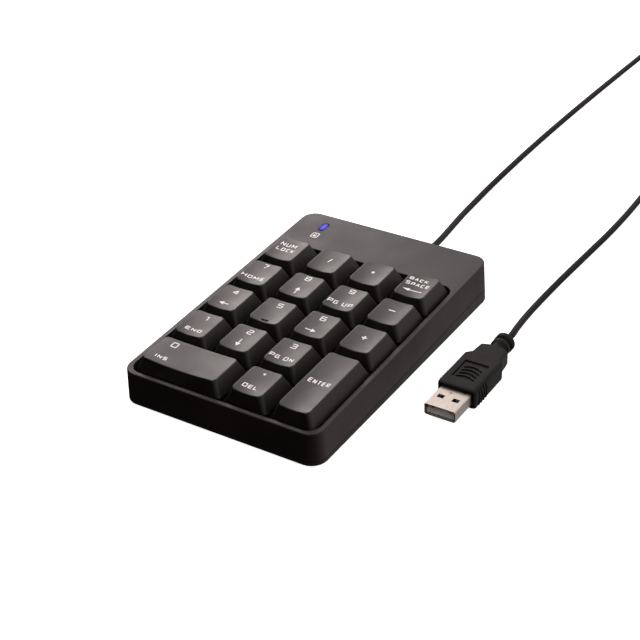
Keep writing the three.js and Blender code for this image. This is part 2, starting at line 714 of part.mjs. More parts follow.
// ---- Cable: grommet, inner lead, the two stretches on the table and the coil between them ----
const wallOut = EXIT[1] + 0.45; // outer face of the back wall at the cable's height
const wallIn = EXIT[1] - WALL + 0.15;
const grommetEnd = wallOut + 6.5;
const grommetProfile = [
  [3.4, wallIn - 1.8],
  [3.4, wallIn - 0.3],
  [2.5, wallIn - 0.3],
  [2.5, wallOut + 0.3],
  [3.6, wallOut + 0.3],
  [3.4, wallOut + 1.4],
  [2.6, wallOut + 1.5],
  [2.0, grommetEnd],
];
const grommet = turnedAlongY(grommetProfile, EXIT[0], EXIT[2], 16);
addPiece("cable_grommet", grommet, "grip");

function cordSection() {
  const section = new THREE.Shape();
  for (let i = 0; i < CORD_SIDES; i += 1) {
    const angle = (i / CORD_SIDES) * Math.PI * 2;
    const point = [CORD_RADIUS * Math.cos(angle), CORD_RADIUS * Math.sin(angle)];
    if (i === 0) section.moveTo(...point);
    else section.lineTo(...point);
  }
  section.closePath();
  return section;
}

function cordTube(route, steps) {
  const points = route.map((p) => new THREE.Vector3(...p));
  const path = new THREE.CatmullRomCurve3(points, false, "centripetal");
  return toSolid(new THREE.ExtrudeGeometry(cordSection(), { steps, extrudePath: path }));
}

const headerBack = new THREE.Vector3(EXIT[0], HEADER.v[1] + 0.3, (HEADER.low + HEADER.high) / 2);
headerBack.applyMatrix4(slopeMatrix);
const innerRoute = [
  [EXIT[0], wallIn - 2.1, EXIT[2]],
  [EXIT[0], wallIn - 4.5, EXIT[2] + 0.3],
  [EXIT[0], headerBack.y + 2.5, headerBack.z - 0.3],
  [EXIT[0], headerBack.y, headerBack.z],
];
addPiece("inner_lead", cordTube(innerRoute, 6), "cord");

// From the grommet straight back along the table to the coil.
const REAR_ROUTE = [
  [8.5, grommetEnd + TOUCH, 6.4],
  [8.3, 74, 6.1],
  [7.5, 82, 5.2],
  [6.1, 91, 4.1],
  [4.6, 101, 3.2],
  [3.1, 112, 2.3],
  [2.0, 124, 1.6],
  [1.2, 138, CORD_REST],
  [0.8, 158, CORD_REST],
  [0.7, 182, CORD_REST],
  [1.2, 214, CORD_REST],
  [2.3, 248, CORD_REST],
  [3.7, 280, CORD_REST],
  [4.9, 305, CORD_REST + 0.1],
  [5.6, 327, CORD_REST + 0.6],
];

// From the coil along the table to the plug.
const FRONT_ROUTE = [
  [41.1, 324.6, 4.2],
  [41.3, 315, 3.2],
  [42.2, 303, 2.1],
  [43.9, 289, 1.5],
  [46.7, 271, CORD_REST],
  [50.8, 249, CORD_REST],
  [55.2, 225, CORD_REST],
  [58.9, 200, CORD_REST],
  [61.3, 176, CORD_REST],
  [62.4, 154, CORD_REST],
  [62.6, 130, CORD_REST],
  [61.6, 105, CORD_REST],
  [60.7, 84, CORD_REST],
  [60.4, 72, CORD_REST],
  [60.5, 62, 1.7],
  [60.9, 54, 2.2],
  [61.6, 47, 2.9],
  [62.4, 41, 3.6],
  [PLUG_X, PLUG_FRONT + RELIEF_END + 3.5, 3.9],
  [PLUG_X, PLUG_FRONT + RELIEF_END + TOUCH, PLUG_Z],
];
addPiece("cable_from_case", cordTube(REAR_ROUTE, 38), "cord");
addPiece("cable_to_plug", cordTube(FRONT_ROUTE, 42), "cord");

function coil() {
  const chamfer = 1.1;
  const profile = [
    [COIL_INNER + chamfer, COIL_BOTTOM],
    [COIL_OUTER - chamfer, COIL_BOTTOM],
    [COIL_OUTER, COIL_BOTTOM + chamfer],
    [COIL_OUTER, COIL_TOP - 3],
    [COIL_OUTER - 3, COIL_TOP],
    [COIL_INNER + 2, COIL_TOP],
    [COIL_INNER, COIL_TOP - 2],
    [COIL_INNER, COIL_BOTTOM + chamfer],
    [COIL_INNER + chamfer, COIL_BOTTOM],
  ];
  const geometry = new THREE.LatheGeometry(profile.map(([r, z]) => new THREE.Vector2(r, z)), 28);
  geometry.rotateX(Math.PI / 2);
  return toSolid(geometry).translate([...COIL_CENTRE, 0]);
}
addPiece("cable_coil", coil(), "cord");

// A flat band round the coil's turns, on the side away from the case.
function coilTie() {
  const half = 2.0;
  const skin = 0.45;
  const inner = COIL_INNER - TOUCH;
  const outer = COIL_OUTER + TOUCH;
  const low = 0.05;
  const high = COIL_TOP + TOUCH + skin;
  const block = box([-half, inner - skin, low], [half, outer + skin, high]);
  const room = box([-half - 1, inner, low + skin], [half + 1, outer, high - skin]);
  return block.subtract(room).translate([...COIL_CENTRE, 0]);
}
addPiece("coil_tie", coilTie(), "rubber");

// ---- Plug ----
function plugRing(halfWidth, halfHeight, radius, y) {
  return roundedOutline(2 * halfWidth, 2 * halfHeight, radius, 3)
    .map(([x, z]) => [PLUG_X + x, y, PLUG_Z + z])
    .reverse();
}

function plugGrip() {
  const body = loft(GRIP_SECTIONS.map(([w, h, r, y]) => plugRing(w, h, r, PLUG_FRONT + y)));
  const tail = turnedAlongY(RELIEF_PROFILE.map(([r, y]) => [r, PLUG_FRONT + y]), PLUG_X, PLUG_Z, 16);
  const half = [SHELL[0] / 2 + TOUCH, SHELL[2] / 2 + TOUCH];
  const pocket = box(
    [PLUG_X - half[0], PLUG_FRONT - 1, PLUG_Z - half[1]],
    [PLUG_X + half[0], PLUG_FRONT + SHELL_SUNK + TOUCH, PLUG_Z + half[1]],
  );
  const panelFront = PLUG_FRONT + PANEL.start;
  const gripTop = PLUG_Z + GRIP_HALF_HEIGHT;
  const panel = box(
    [PLUG_X - PANEL.size[0] / 2, panelFront, gripTop - PANEL.depth],
    [PLUG_X + PANEL.size[0] / 2, panelFront + PANEL.size[1], gripTop + 1],
  );
  return cutAll(body.add(tail), [pocket, panel]);
}
addPiece("plug_grip", plugGrip(), "grip");

const shellTip = PLUG_FRONT - SHELL[1];
const shellEnd = PLUG_FRONT + SHELL_SUNK;

function plugShell() {
  const half = [SHELL[0] / 2, SHELL[2] / 2];
  const wall = SHELL_WALL;
  const outside = box(
    [PLUG_X - half[0], shellTip, PLUG_Z - half[1]],
    [PLUG_X + half[0], shellEnd, PLUG_Z + half[1]],
  );
  const inside = box(
    [PLUG_X - half[0] + wall, shellTip - 1, PLUG_Z - half[1] + wall],
    [PLUG_X + half[0] - wall, shellEnd + 1, PLUG_Z + half[1] - wall],
  );
  const latchY = shellTip + LATCH.start;
  const latches = [-LATCH.offset, LATCH.offset].map((offset) =>
    box(
      [PLUG_X + offset - LATCH.size[0] / 2, latchY, PLUG_Z - 5],
      [PLUG_X + offset + LATCH.size[0] / 2, latchY + LATCH.size[1], PLUG_Z + 5],
    ),
  );
  const shellTop = PLUG_Z + half[1];
  const [dimpleX, dimpleY] = [PLUG_X + DIMPLE.place[0], shellTip + DIMPLE.place[1]];
  const dimple = post(dimpleX, dimpleY, shellTop - DIMPLE.depth, shellTop + 1, DIMPLE.radius);
  return cutAll(outside, [inside, dimple, ...latches]);
}
addPiece("plug_shell", plugShell(), "nickel");

const tongueLow = PLUG_Z - SHELL[2] / 2 + SHELL_WALL + 0.12;
const tongueHigh = tongueLow + TONGUE_HEIGHT;
const tongueHalf = SHELL[0] / 2 - SHELL_WALL - 0.15;
const tongue = box(
  [PLUG_X - tongueHalf, shellTip + 1.0, tongueLow],
  [PLUG_X + tongueHalf, shellEnd - 0.1, tongueHigh],
);
addPiece("plug_tongue", tongue, "tongue");

CONTACTS.forEach((offset, i) => {
  const start = Math.abs(offset) > 2 ? 1.6 : 2.6; // the outer two reach further forward
  const contact = box(
    [PLUG_X + offset - 0.5, shellTip + start, tongueHigh + 0.05],
    [PLUG_X + offset + 0.5, shellEnd - 0.4, tongueHigh + 0.25],
  );
  addPiece("plug_contact_" + (i + 1), contact, "gold");
});

export default root;
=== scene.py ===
# Wired numeric keypad: its looks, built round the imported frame.
import math

import bmesh
import bpy
from mathutils import Matrix, Vector


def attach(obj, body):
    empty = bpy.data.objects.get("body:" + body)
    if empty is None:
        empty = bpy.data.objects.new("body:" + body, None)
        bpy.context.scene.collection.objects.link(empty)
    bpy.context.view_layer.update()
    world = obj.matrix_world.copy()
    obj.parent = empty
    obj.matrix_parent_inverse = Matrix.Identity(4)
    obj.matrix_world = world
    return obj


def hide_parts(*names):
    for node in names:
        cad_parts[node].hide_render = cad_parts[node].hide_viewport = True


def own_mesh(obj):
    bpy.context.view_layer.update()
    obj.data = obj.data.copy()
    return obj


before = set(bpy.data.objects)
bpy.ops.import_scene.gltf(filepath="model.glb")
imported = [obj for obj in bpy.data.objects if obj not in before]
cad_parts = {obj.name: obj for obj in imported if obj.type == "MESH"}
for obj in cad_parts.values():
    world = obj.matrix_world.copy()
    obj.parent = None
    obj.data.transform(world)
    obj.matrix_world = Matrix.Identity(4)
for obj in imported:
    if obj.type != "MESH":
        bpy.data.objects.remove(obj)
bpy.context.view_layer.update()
scene = bpy.context.scene
mm = 0.001
print("frame loaded:", len(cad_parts), "nodes")

# The camera stands at the front right, above the keypad; angles in degrees, place in metres.
camera = {
    "place": (0.264225, -0.384912, 0.312781),
    "azimuth": 34.15,
    "elevation": 32.83,
    "roll": -3.086,
    "lens": 85.2,
    "sensor": 36.0,
}


def makeCamera():
    data = bpy.data.cameras.new("camera")
    data.lens = camera["lens"]
    data.sensor_width = camera["sensor"]
    data.clip_start = 0.01
    obj = bpy.data.objects.new("camera", data)
    scene.collection.objects.link(obj)
    turn = Matrix.Rotation(math.radians(camera["azimuth"]), 4, "Z")
    tilt = Matrix.Rotation(math.radians(90 - camera["elevation"]), 4, "X")
    roll = Matrix.Rotation(math.radians(camera["roll"]), 4, "Z")
    obj.matrix_world = Matrix.Translation(camera["place"]) @ turn @ tilt @ roll
    scene.camera = obj


makeCamera()
scene.view_settings.view_transform = "Standard"
print("camera placed")

# The sloping deck: its own millimetre frame has u across, v up the slope and w away from the deck.
deck = {"slope": 1.678, "gridY": -10.94, "rimHeight": 15.265, "pitch": 19.05}
slope = math.radians(deck["slope"])
gridHeight = deck["rimHeight"] + math.tan(slope) * deck["gridY"]
deckMatrix = Matrix.Translation(Vector((0, deck["gridY"], gridHeight)) * mm) @ Matrix.Rotation(slope, 4, "X")
millimetres = Matrix.Scale(mm, 4)


def onDeck(u, v, w=0.0):
    return deckMatrix @ Matrix.Translation(Vector((u, v, w)) * mm) @ millimetres


# Every finish: two base colours that drift into each other, a fine grain and a roughness range.
finishes = {
    "casePlastic": {"dark": (0.0105, 0.0066, 0.0074), "light": (0.0150, 0.0098, 0.0106),
                    "patch": 55, "grain": 2100, "depth": 0.00004, "rough": (0.46, 0.58), "specular": 0.35},
    "basePlastic": {"dark": (0.0085, 0.0056, 0.0068), "light": (0.0120, 0.0084, 0.0098),
                    "patch": 60, "grain": 2400, "depth": 0.00003, "rough": (0.52, 0.66), "specular": 0.4},
    "capPlastic": {"dark": (0.0038, 0.0022, 0.0022), "light": (0.0060, 0.0038, 0.0037),
                   "patch": 120, "grain": 2300, "depth": 0.00004, "rough": (0.40, 0.50), "specular": 0.42},
    "legendInk": {"dark": (0.78, 0.78, 0.77), "light": (0.88, 0.88, 0.87),
                  "patch": 900, "grain": 5000, "depth": 0.000004, "rough": (0.45, 0.6), "specular": 0.4},
    "guidePlastic": {"dark": (0.007, 0.007, 0.008), "light": (0.013, 0.013, 0.014),
                     "patch": 90, "grain": 1800, "depth": 0.00003, "rough": (0.55, 0.7), "specular": 0.4},
    "footRubber": {"dark": (0.010, 0.010, 0.010), "light": (0.018, 0.018, 0.018),
                   "patch": 300, "grain": 2200, "depth": 0.00006, "rough": (0.75, 0.9), "specular": 0.3},
    "tieRubber": {"dark": (0.012, 0.012, 0.013), "light": (0.022, 0.022, 0.023),
                  "patch": 260, "grain": 2000, "depth": 0.00005, "rough": (0.7, 0.85), "specular": 0.3},
    "domeSilicone": {"dark": (0.42, 0.43, 0.40), "light": (0.52, 0.53, 0.50),
                     "patch": 160, "grain": 1500, "depth": 0.00002, "rough": (0.5, 0.68), "specular": 0.4},
    "contactFilm": {"dark": (0.50, 0.58, 0.54), "light": (0.62, 0.68, 0.64),
                    "patch": 70, "grain": 900, "depth": 0.00001, "rough": (0.2, 0.36), "specular": 0.5},
    "zincSheet": {"dark": (0.50, 0.50, 0.50), "light": (0.66, 0.66, 0.65),
                  "patch": 240, "grain": 2600, "depth": 0.00002, "rough": (0.3, 0.46), "metal": 1.0,
                  "stretch": (1, 14, 1)},
    "springSteel": {"dark": (0.46, 0.46, 0.46), "light": (0.62, 0.62, 0.61),
                    "patch": 500, "grain": 3000, "depth": 0.00001, "rough": (0.24, 0.4), "metal": 1.0},
    "screwSteel": {"dark": (0.34, 0.34, 0.34), "light": (0.5, 0.5, 0.49),
                   "patch": 700, "grain": 4000, "depth": 0.00001, "rough": (0.28, 0.45), "metal": 1.0},
    "solderMask": {"dark": (0.012, 0.085, 0.034), "light": (0.024, 0.135, 0.055),
                   "patch": 320, "grain": 1400, "depth": 0.00001, "rough": (0.3, 0.45), "specular": 0.5},
    "chipEpoxy": {"dark": (0.004, 0.004, 0.004), "light": (0.009, 0.009, 0.009),
                  "patch": 500, "grain": 2500, "depth": 0.00003, "rough": (0.4, 0.6), "specular": 0.4},
    "lampBody": {"dark": (0.62, 0.68, 0.95), "light": (0.78, 0.82, 1.0),
                 "patch": 600, "grain": 2500, "depth": 0.00001, "rough": (0.2, 0.35), "specular": 0.5},
    "headerNylon": {"dark": (0.66, 0.63, 0.54), "light": (0.78, 0.75, 0.66),
                    "patch": 300, "grain": 1600, "depth": 0.00002, "rough": (0.4, 0.55), "specular": 0.4},
    "cordVinyl": {"dark": (0.0012, 0.0012, 0.0013), "light": (0.0030, 0.0030, 0.0032),
                  "patch": 240, "grain": 1500, "depth": 0.00001, "rough": (0.12, 0.19), "specular": 0.08},
    "gripVinyl": {"dark": (0.0044, 0.0036, 0.0038), "light": (0.0070, 0.0058, 0.0062),
                  "patch": 160, "grain": 2600, "depth": 0.00003, "rough": (0.50, 0.62), "specular": 0.12},
    "shellNickel": {"dark": (0.36, 0.325, 0.29), "light": (0.445, 0.41, 0.375),
                    "patch": 300, "grain": 2200, "depth": 0.000008, "rough": (0.34, 0.46), "metal": 1.0,
                    "stretch": (6, 1, 6)},
    "tonguePlastic": {"dark": (0.80, 0.79, 0.78), "light": (0.90, 0.89, 0.88),
                      "patch": 400, "grain": 2400, "depth": 0.00001, "rough": (0.4, 0.55), "specular": 0.4},
    "contactGold": {"dark": (0.74, 0.54, 0.20), "light": (0.86, 0.66, 0.28),
                    "patch": 600, "grain": 3000, "depth": 0.000005, "rough": (0.2, 0.34), "metal": 1.0},
    "floorPaper": {"dark": (0.86, 0.86, 0.86), "light": (0.90, 0.90, 0.90),
                   "patch": 12, "grain": 900, "depth": 0.00001, "rough": (0.8, 0.9), "specular": 0.1},
}


# How strongly the noises work, for all finishes; drift is where the two colours start to mix and end.
surface = {"patchDetail": 4, "grainDetail": 2, "speck": 0.22, "drift": (0.3, 0.7), "bump": 0.6}


def addNode(nodes, kind, values=None, operation=None):
    node = nodes.new("ShaderNode" + kind)
    if operation:
        node.operation = operation
    for socket, value in (values or {}).items():
        node.inputs[socket].default_value = value
    return node


def addRamp(nodes, positions, colours):
    ramp = nodes.new("ShaderNodeValToRGB")
    for element, position, colour in zip(ramp.color_ramp.elements, positions, colours):
        element.position = position
        element.color = (*colour, 1)
    return ramp


def makeFinish(name):
    recipe = finishes[name]
    start, end = surface["drift"]
    material = bpy.data.materials.new(name)
    material.use_nodes = True
    nodes, links = material.node_tree.nodes, material.node_tree.links
    shader = nodes["Principled BSDF"]
    shader.inputs["Metallic"].default_value = recipe.get("metal", 0.0)
    shader.inputs["Specular IOR Level"].default_value = recipe.get("specular", 0.5)
    coords = addNode(nodes, "TexCoord")
    stretch = addNode(nodes, "Mapping", {"Scale": recipe.get("stretch", (1, 1, 1))})
    links.new(coords.outputs["Object"], stretch.inputs["Vector"])
    patches = addNode(nodes, "TexNoise", {"Scale": recipe["patch"], "Detail": surface["patchDetail"]})
    grain = addNode(nodes, "TexNoise", {"Scale": recipe["grain"], "Detail": surface["grainDetail"]})
    for texture in (patches, grain):
        links.new(stretch.outputs["Vector"], texture.inputs["Vector"])
    speck = addNode(nodes, "MapRange", {"To Min": -surface["speck"], "To Max": surface["speck"]})
    links.new(grain.outputs["Fac"], speck.inputs["Value"])
    drift = addNode(nodes, "Math", operation="ADD")
    links.new(patches.outputs["Fac"], drift.inputs[0])
    links.new(speck.outputs["Result"], drift.inputs[1])
    ramp = addRamp(nodes, (start, end), (recipe["dark"], recipe["light"]))
    links.new(drift.outputs["Value"], ramp.inputs["Fac"])
    links.new(ramp.outputs["Color"], shader.inputs["Base Color"])
    polish = addNode(nodes, "MapRange", {"From Min": start, "From Max": end,
                                         "To Min": recipe["rough"][0], "To Max": recipe["rough"][1]})
    links.new(drift.outputs["Value"], polish.inputs["Value"])
    links.new(polish.outputs["Result"], shader.inputs["Roughness"])
    bump = addNode(nodes, "Bump", {"Strength": surface["bump"], "Distance": recipe["depth"]})
    links.new(grain.outputs["Fac"], bump.inputs["Height"])
    links.new(bump.outputs["Normal"], shader.inputs["Normal"])
    return material


materials = {name: makeFinish(name) for name in finishes}
print("finishes made:", len(materials))

# Ways of making that every piece shares; angles in degrees, distance in metres.
making = {"sharp": 38, "faceWeight": 80, "mergeDistance": 0.000002, "flatAngle": 0.3}
tiny = 0.01  # millimetres, for telling levels apart


def addObject(name, mesh, material):
    mesh.materials.clear()
    mesh.materials.append(material)
    obj = bpy.data.objects.new(name, mesh)
    scene.collection.objects.link(obj)
    return obj


def finishPiece(name, bm, place, material, body, sharpAngle=making["sharp"]):
    bmesh.ops.transform(bm, matrix=place, verts=bm.verts)
    mesh = bpy.data.meshes.new(name)
    bm.to_mesh(mesh)
    bm.free()
    mesh.shade_smooth()
    mesh.set_sharp_from_angle(angle=math.radians(sharpAngle))
    obj = addObject(name, mesh, materials[material])
    weighted = obj.modifiers.new("evenShading", "WEIGHTED_NORMAL")
    weighted.keep_sharp = True
    weighted.weight = making["faceWeight"]
    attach(obj, body)
    return obj


def addBox(bm, low, high):
    size = Vector(high) - Vector(low)
    middle = (Vector(high) + Vector(low)) / 2
    matrix = Matrix.Translation(middle) @ Matrix.Diagonal((*size, 1))
    bmesh.ops.create_cube(bm, size=1, matrix=matrix)


def joinInto(bm, other):
    part = bpy.data.meshes.new("part")
    other.to_mesh(part)
    other.free()
    bm.from_mesh(part)
    bpy.data.meshes.remove(part)


def mergedCopy(node):
    bm = bmesh.new()
    bm.from_mesh(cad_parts[node].data)
    bmesh.ops.remove_doubles(bm, verts=bm.verts, dist=making["mergeDistance"])
    flat = math.radians(making["flatAngle"])
    bmesh.ops.dissolve_limit(bm, angle_limit=flat, verts=bm.verts, edges=bm.edges)
    return bm


def roundEdges(bm, edges, offset, segments, clamp=False):
    bmesh.ops.bevel(bm, geom=edges, offset=offset, offset_type="OFFSET", segments=segments, profile=0.5,
                    affect="EDGES", material=-1, clamp_overlap=clamp)


def vertsOf(geom):
    return [v for v in geom if isinstance(v, bmesh.types.BMVert)]


# The cable: one length from the grommet through the coil to the plug, in millimetres.
cable = {
    "radius": 1.3,
    "rest": 1.35,
    "exit": (8.5, 61.57, 6.4),
    "coilCentre": (24.0, 338.0),
    "rows": (1.95, 4.2, 6.45),
    "turns": [  # radius and row
        (18.4, 0), (15.8, 0), (13.2, 0), (10.6, 0), (11.9, 1), (14.5, 1), (13.2, 2), (15.8, 2), (17.1, 1),
    ],
    "stepsPerTurn": 16,
    "moveFrom": 0.72,  # the part of a turn after which it moves over to the next
    "hump": 0.35,
    "length": 1.34,  # metres
}
rest = cable["rest"]
rearRoute = [
    (8.5, 68.82, 6.4), (8.3, 74, 6.1), (7.5, 82, 5.2), (6.1, 91, 4.1), (4.6, 101, 3.2), (3.1, 112, 2.3),
    (2.0, 124, 1.6), (1.2, 138, rest), (0.8, 158, rest), (0.7, 182, rest), (1.2, 214, rest),
    (2.3, 248, rest), (3.7, 280, rest), (4.9, 305, rest + 0.1), (5.6, 327, rest + 0.6),
]
frontRoute = [
    (41.1, 324.6, 4.2), (41.3, 315, 3.2), (42.2, 303, 2.1), (43.9, 289, 1.5), (46.7, 271, rest),
    (50.8, 249, rest), (55.2, 225, rest), (58.9, 200, rest), (61.3, 176, rest), (62.4, 154, rest),
    (62.6, 130, rest), (61.6, 105, rest), (60.7, 84, rest), (60.4, 72, rest), (60.5, 62, 1.7),
    (60.9, 54, 2.2), (61.6, 47, 2.9), (62.4, 41, 3.6), (63.0, 36.6, 3.9), (63.0, 33.4, 4.0),
]


def coilRoute():
    # Each turn runs clockwise from the left side; it moves over to the next turn in its last quarter.
    points = []
    turns, steps = cable["turns"], cable["stepsPerTurn"]
    for i, (radius, row) in enumerate(turns):
        nextRadius, nextRow = turns[min(i + 1, len(turns) - 1)]
        last = i == len(turns) - 1
        for k in range(steps // 2 + 1 if last else steps):
            along = k / steps
            move = min(max((along - cable["moveFrom"]) / (1 - cable["moveFrom"]), 0), 1)
            move = move * move * (3 - 2 * move)
            r = radius + (nextRadius - radius) * move
            z = cable["rows"][row] + (cable["rows"][nextRow] - cable["rows"][row]) * move
            if row or nextRow:
                z += cable["hump"] * math.sin(math.pi * move)
            angle = 2 * math.pi * along
            x = cable["coilCentre"][0] - r * math.cos(angle)
            y = cable["coilCentre"][1] + r * math.sin(angle)
            points.append((x, y, z))
    return points


def makeCable():
    route = rearRoute + coilRoute() + frontRoute
    curve = bpy.data.curves.new("cable", "CURVE")
    curve.dimensions = "3D"
    curve.bevel_depth = cable["radius"] * mm
    curve.bevel_resolution = 4
    curve.resolution_u = 5
    curve.use_fill_caps = True
    spline = curve.splines.new("BEZIER")
    spline.bezier_points.add(len(route) - 1)
    for point, place in zip(spline.bezier_points, route):
        point.co = Vector(place) * mm
        point.handle_left_type = point.handle_right_type = "AUTO"
    curve.materials.append(materials["cordVinyl"])
    obj = bpy.data.objects.new("cable", curve)
    scene.collection.objects.link(obj)
    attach(obj, "case")
    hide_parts("cable_from_case", "cable_coil", "cable_to_plug")
    return obj


cableObject = makeCable()
print("cable laid")

# The keys: name, column and row of each centre on the grid.
keyRows = [
    ("num_lock", 0, 0), ("divide", 1, 0), ("multiply", 2, 0), ("backspace", 3, 0),
    ("7", 0, 1), ("8", 1, 1), ("9", 2, 1), ("minus", 3, 1),
    ("4", 0, 2), ("5", 1, 2), ("6", 2, 2), ("plus", 3, 2),
    ("1", 0, 3), ("2", 1, 3), ("3", 2, 3), ("0", 0.5, 4), ("decimal", 2, 4), ("enter", 3, 3.5),
]
keycap = {
    "base": (17.6, 18.0), "top": (12.2, 14.2), "baseHeight": -1.5, "topHeight": 4.32,
    "cornerRadius": 1.55, "cornerSteps": 6, "edgeRadius": 0.3, "edgeSteps": 3,
    "dishFront": 0.85, "dishBack": 0.3, "wall": 1.2, "stem": 5.6, "stemEnd": -5.4,
    # Spacing of the cuts across and along, and the margins left without any.
    "cut": (1.0, 1.8), "uncut": (3.2, 2.6), "stemSlack": 0.05, "roofTilt": 0.8,
}


def keyPlace(name):
    for key, column, row in keyRows:
        if key == name:
            return (column - 1.5) * deck["pitch"], (2 - row) * deck["pitch"]


def keyExtra(name):
    return (deck["pitch"] if name == "0" else 0.0, deck["pitch"] if name == "enter" else 0.0)


def topSurface(name, u, v):
    extraU, extraV = keyExtra(name)
    across = min(abs(u) / ((keycap["top"][0] + extraU) / 2), 1)
    back = min(max(0.5 + v / (keycap["top"][1] + extraV), 0), 1)
    dip = keycap["dishFront"] + (keycap["dishBack"] - keycap["dishFront"]) * back
    return keycap["topHeight"] - dip * (1 - across * across)


def cutPlanes(half, step, stemHalf):
    # Even cuts, with those nearest the stem's sides moved onto them.
    count = int(half / step)
    cuts = {round(side * i * step, 4) for i in range(count + 1) for side in (-1, 1)}
    cuts = {c for c in cuts if abs(abs(c) - stemHalf) > step * 0.45}
    return sorted(cuts | {-stemHalf, stemHalf})


def capShell(name):
    extraU, extraV = keyExtra(name)
    width, depth = keycap["base"][0] + extraU, keycap["base"][1] + extraV
    low, high = keycap["baseHeight"], keycap["topHeight"]
    bm = bmesh.new()
    addBox(bm, (-width / 2, -depth / 2, low), (width / 2, depth / 2, high))
    topVerts = [v for v in bm.verts if v.co.z > 0]
    narrow = ((keycap["top"][0] + extraU) / width, (keycap["top"][1] + extraV) / depth, 1)
    bmesh.ops.scale(bm, vec=narrow, verts=topVerts)
    corners = [e for e in bm.edges if abs(e.verts[0].co.z - e.verts[1].co.z) > 1]
    roundEdges(bm, corners, keycap["cornerRadius"], keycap["cornerSteps"])
    stemHalf = keycap["stem"] / 2
    for normal, side, step, margin in zip((Vector((1, 0, 0)), Vector((0, 1, 0))), (width, depth),
                                          keycap["cut"], keycap["uncut"]):
        for cut in cutPlanes(side / 2 - margin, step, stemHalf):
            bmesh.ops.bisect_plane(bm, geom=bm.verts[:] + bm.edges[:] + bm.faces[:], dist=1e-5,
                                   plane_co=normal * cut, plane_no=normal)
    for v in bm.verts:
        if v.co.z > high - tiny:
            v.co.z = topSurface(name, v.co.x, v.co.y)
    underside = [f for f in bm.faces if all(v.co.z < low + tiny for v in f.verts)]
    bmesh.ops.delete(bm, geom=underside, context="FACES")
    bm.normal_update()
    return bm


# How an edge between a cap's top and an outer side is told: by its height and its faces' tilts.
lip = {"above": 3.0, "sideAbove": 0.2, "topTilt": 0.85, "sideTilt": 0.45, "sideWithin": 0.3}


def isLip(edge):
    if len(edge.link_faces) != 2 or min(v.co.z for v in edge.verts) <= lip["above"]:
        return False
    tilts = [f.normal.z for f in edge.link_faces]
    outside = min(f.calc_center_median().z for f in edge.link_faces) > lip["sideAbove"]
    return outside and max(tilts) > lip["topTilt"] and abs(min(tilts) - lip["sideTilt"]) < lip["sideWithin"]


def makeKeycap(name):
    bm = capShell(name)
    bmesh.ops.recalc_face_normals(bm, faces=bm.faces)
    bmesh.ops.solidify(bm, geom=bm.faces[:], thickness=keycap["wall"])
    for v in bm.verts:
        v.co.z = max(v.co.z, keycap["baseHeight"])  # a level skirt, clear of the guide plate when pressed
    bm.normal_update()
    stemHalf = keycap["stem"] / 2 + keycap["stemSlack"]
    roof = []
    for face in bm.faces:
        middle = face.calc_center_median()
        overStem = middle.z > 0 and max(abs(middle.x), abs(middle.y)) < stemHalf
        if overStem and face.normal.z < -keycap["roofTilt"]:
            roof.append(face)
    for v in vertsOf(bmesh.ops.extrude_face_region(bm, geom=roof)["geom"]):
        v.co.z = keycap["stemEnd"]
    bm.normal_update()
    roundEdges(bm, [e for e in bm.edges if isLip(e)], keycap["edgeRadius"], keycap["edgeSteps"])
    obj = finishPiece("cap_" + name, bm, onDeck(*keyPlace(name)), "capPlastic", "key_" + name)
    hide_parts("keycap_" + name)


for keyName, _, _ in keyRows:
    makeKeycap(keyName)
print("keycaps made:", len(keyRows))

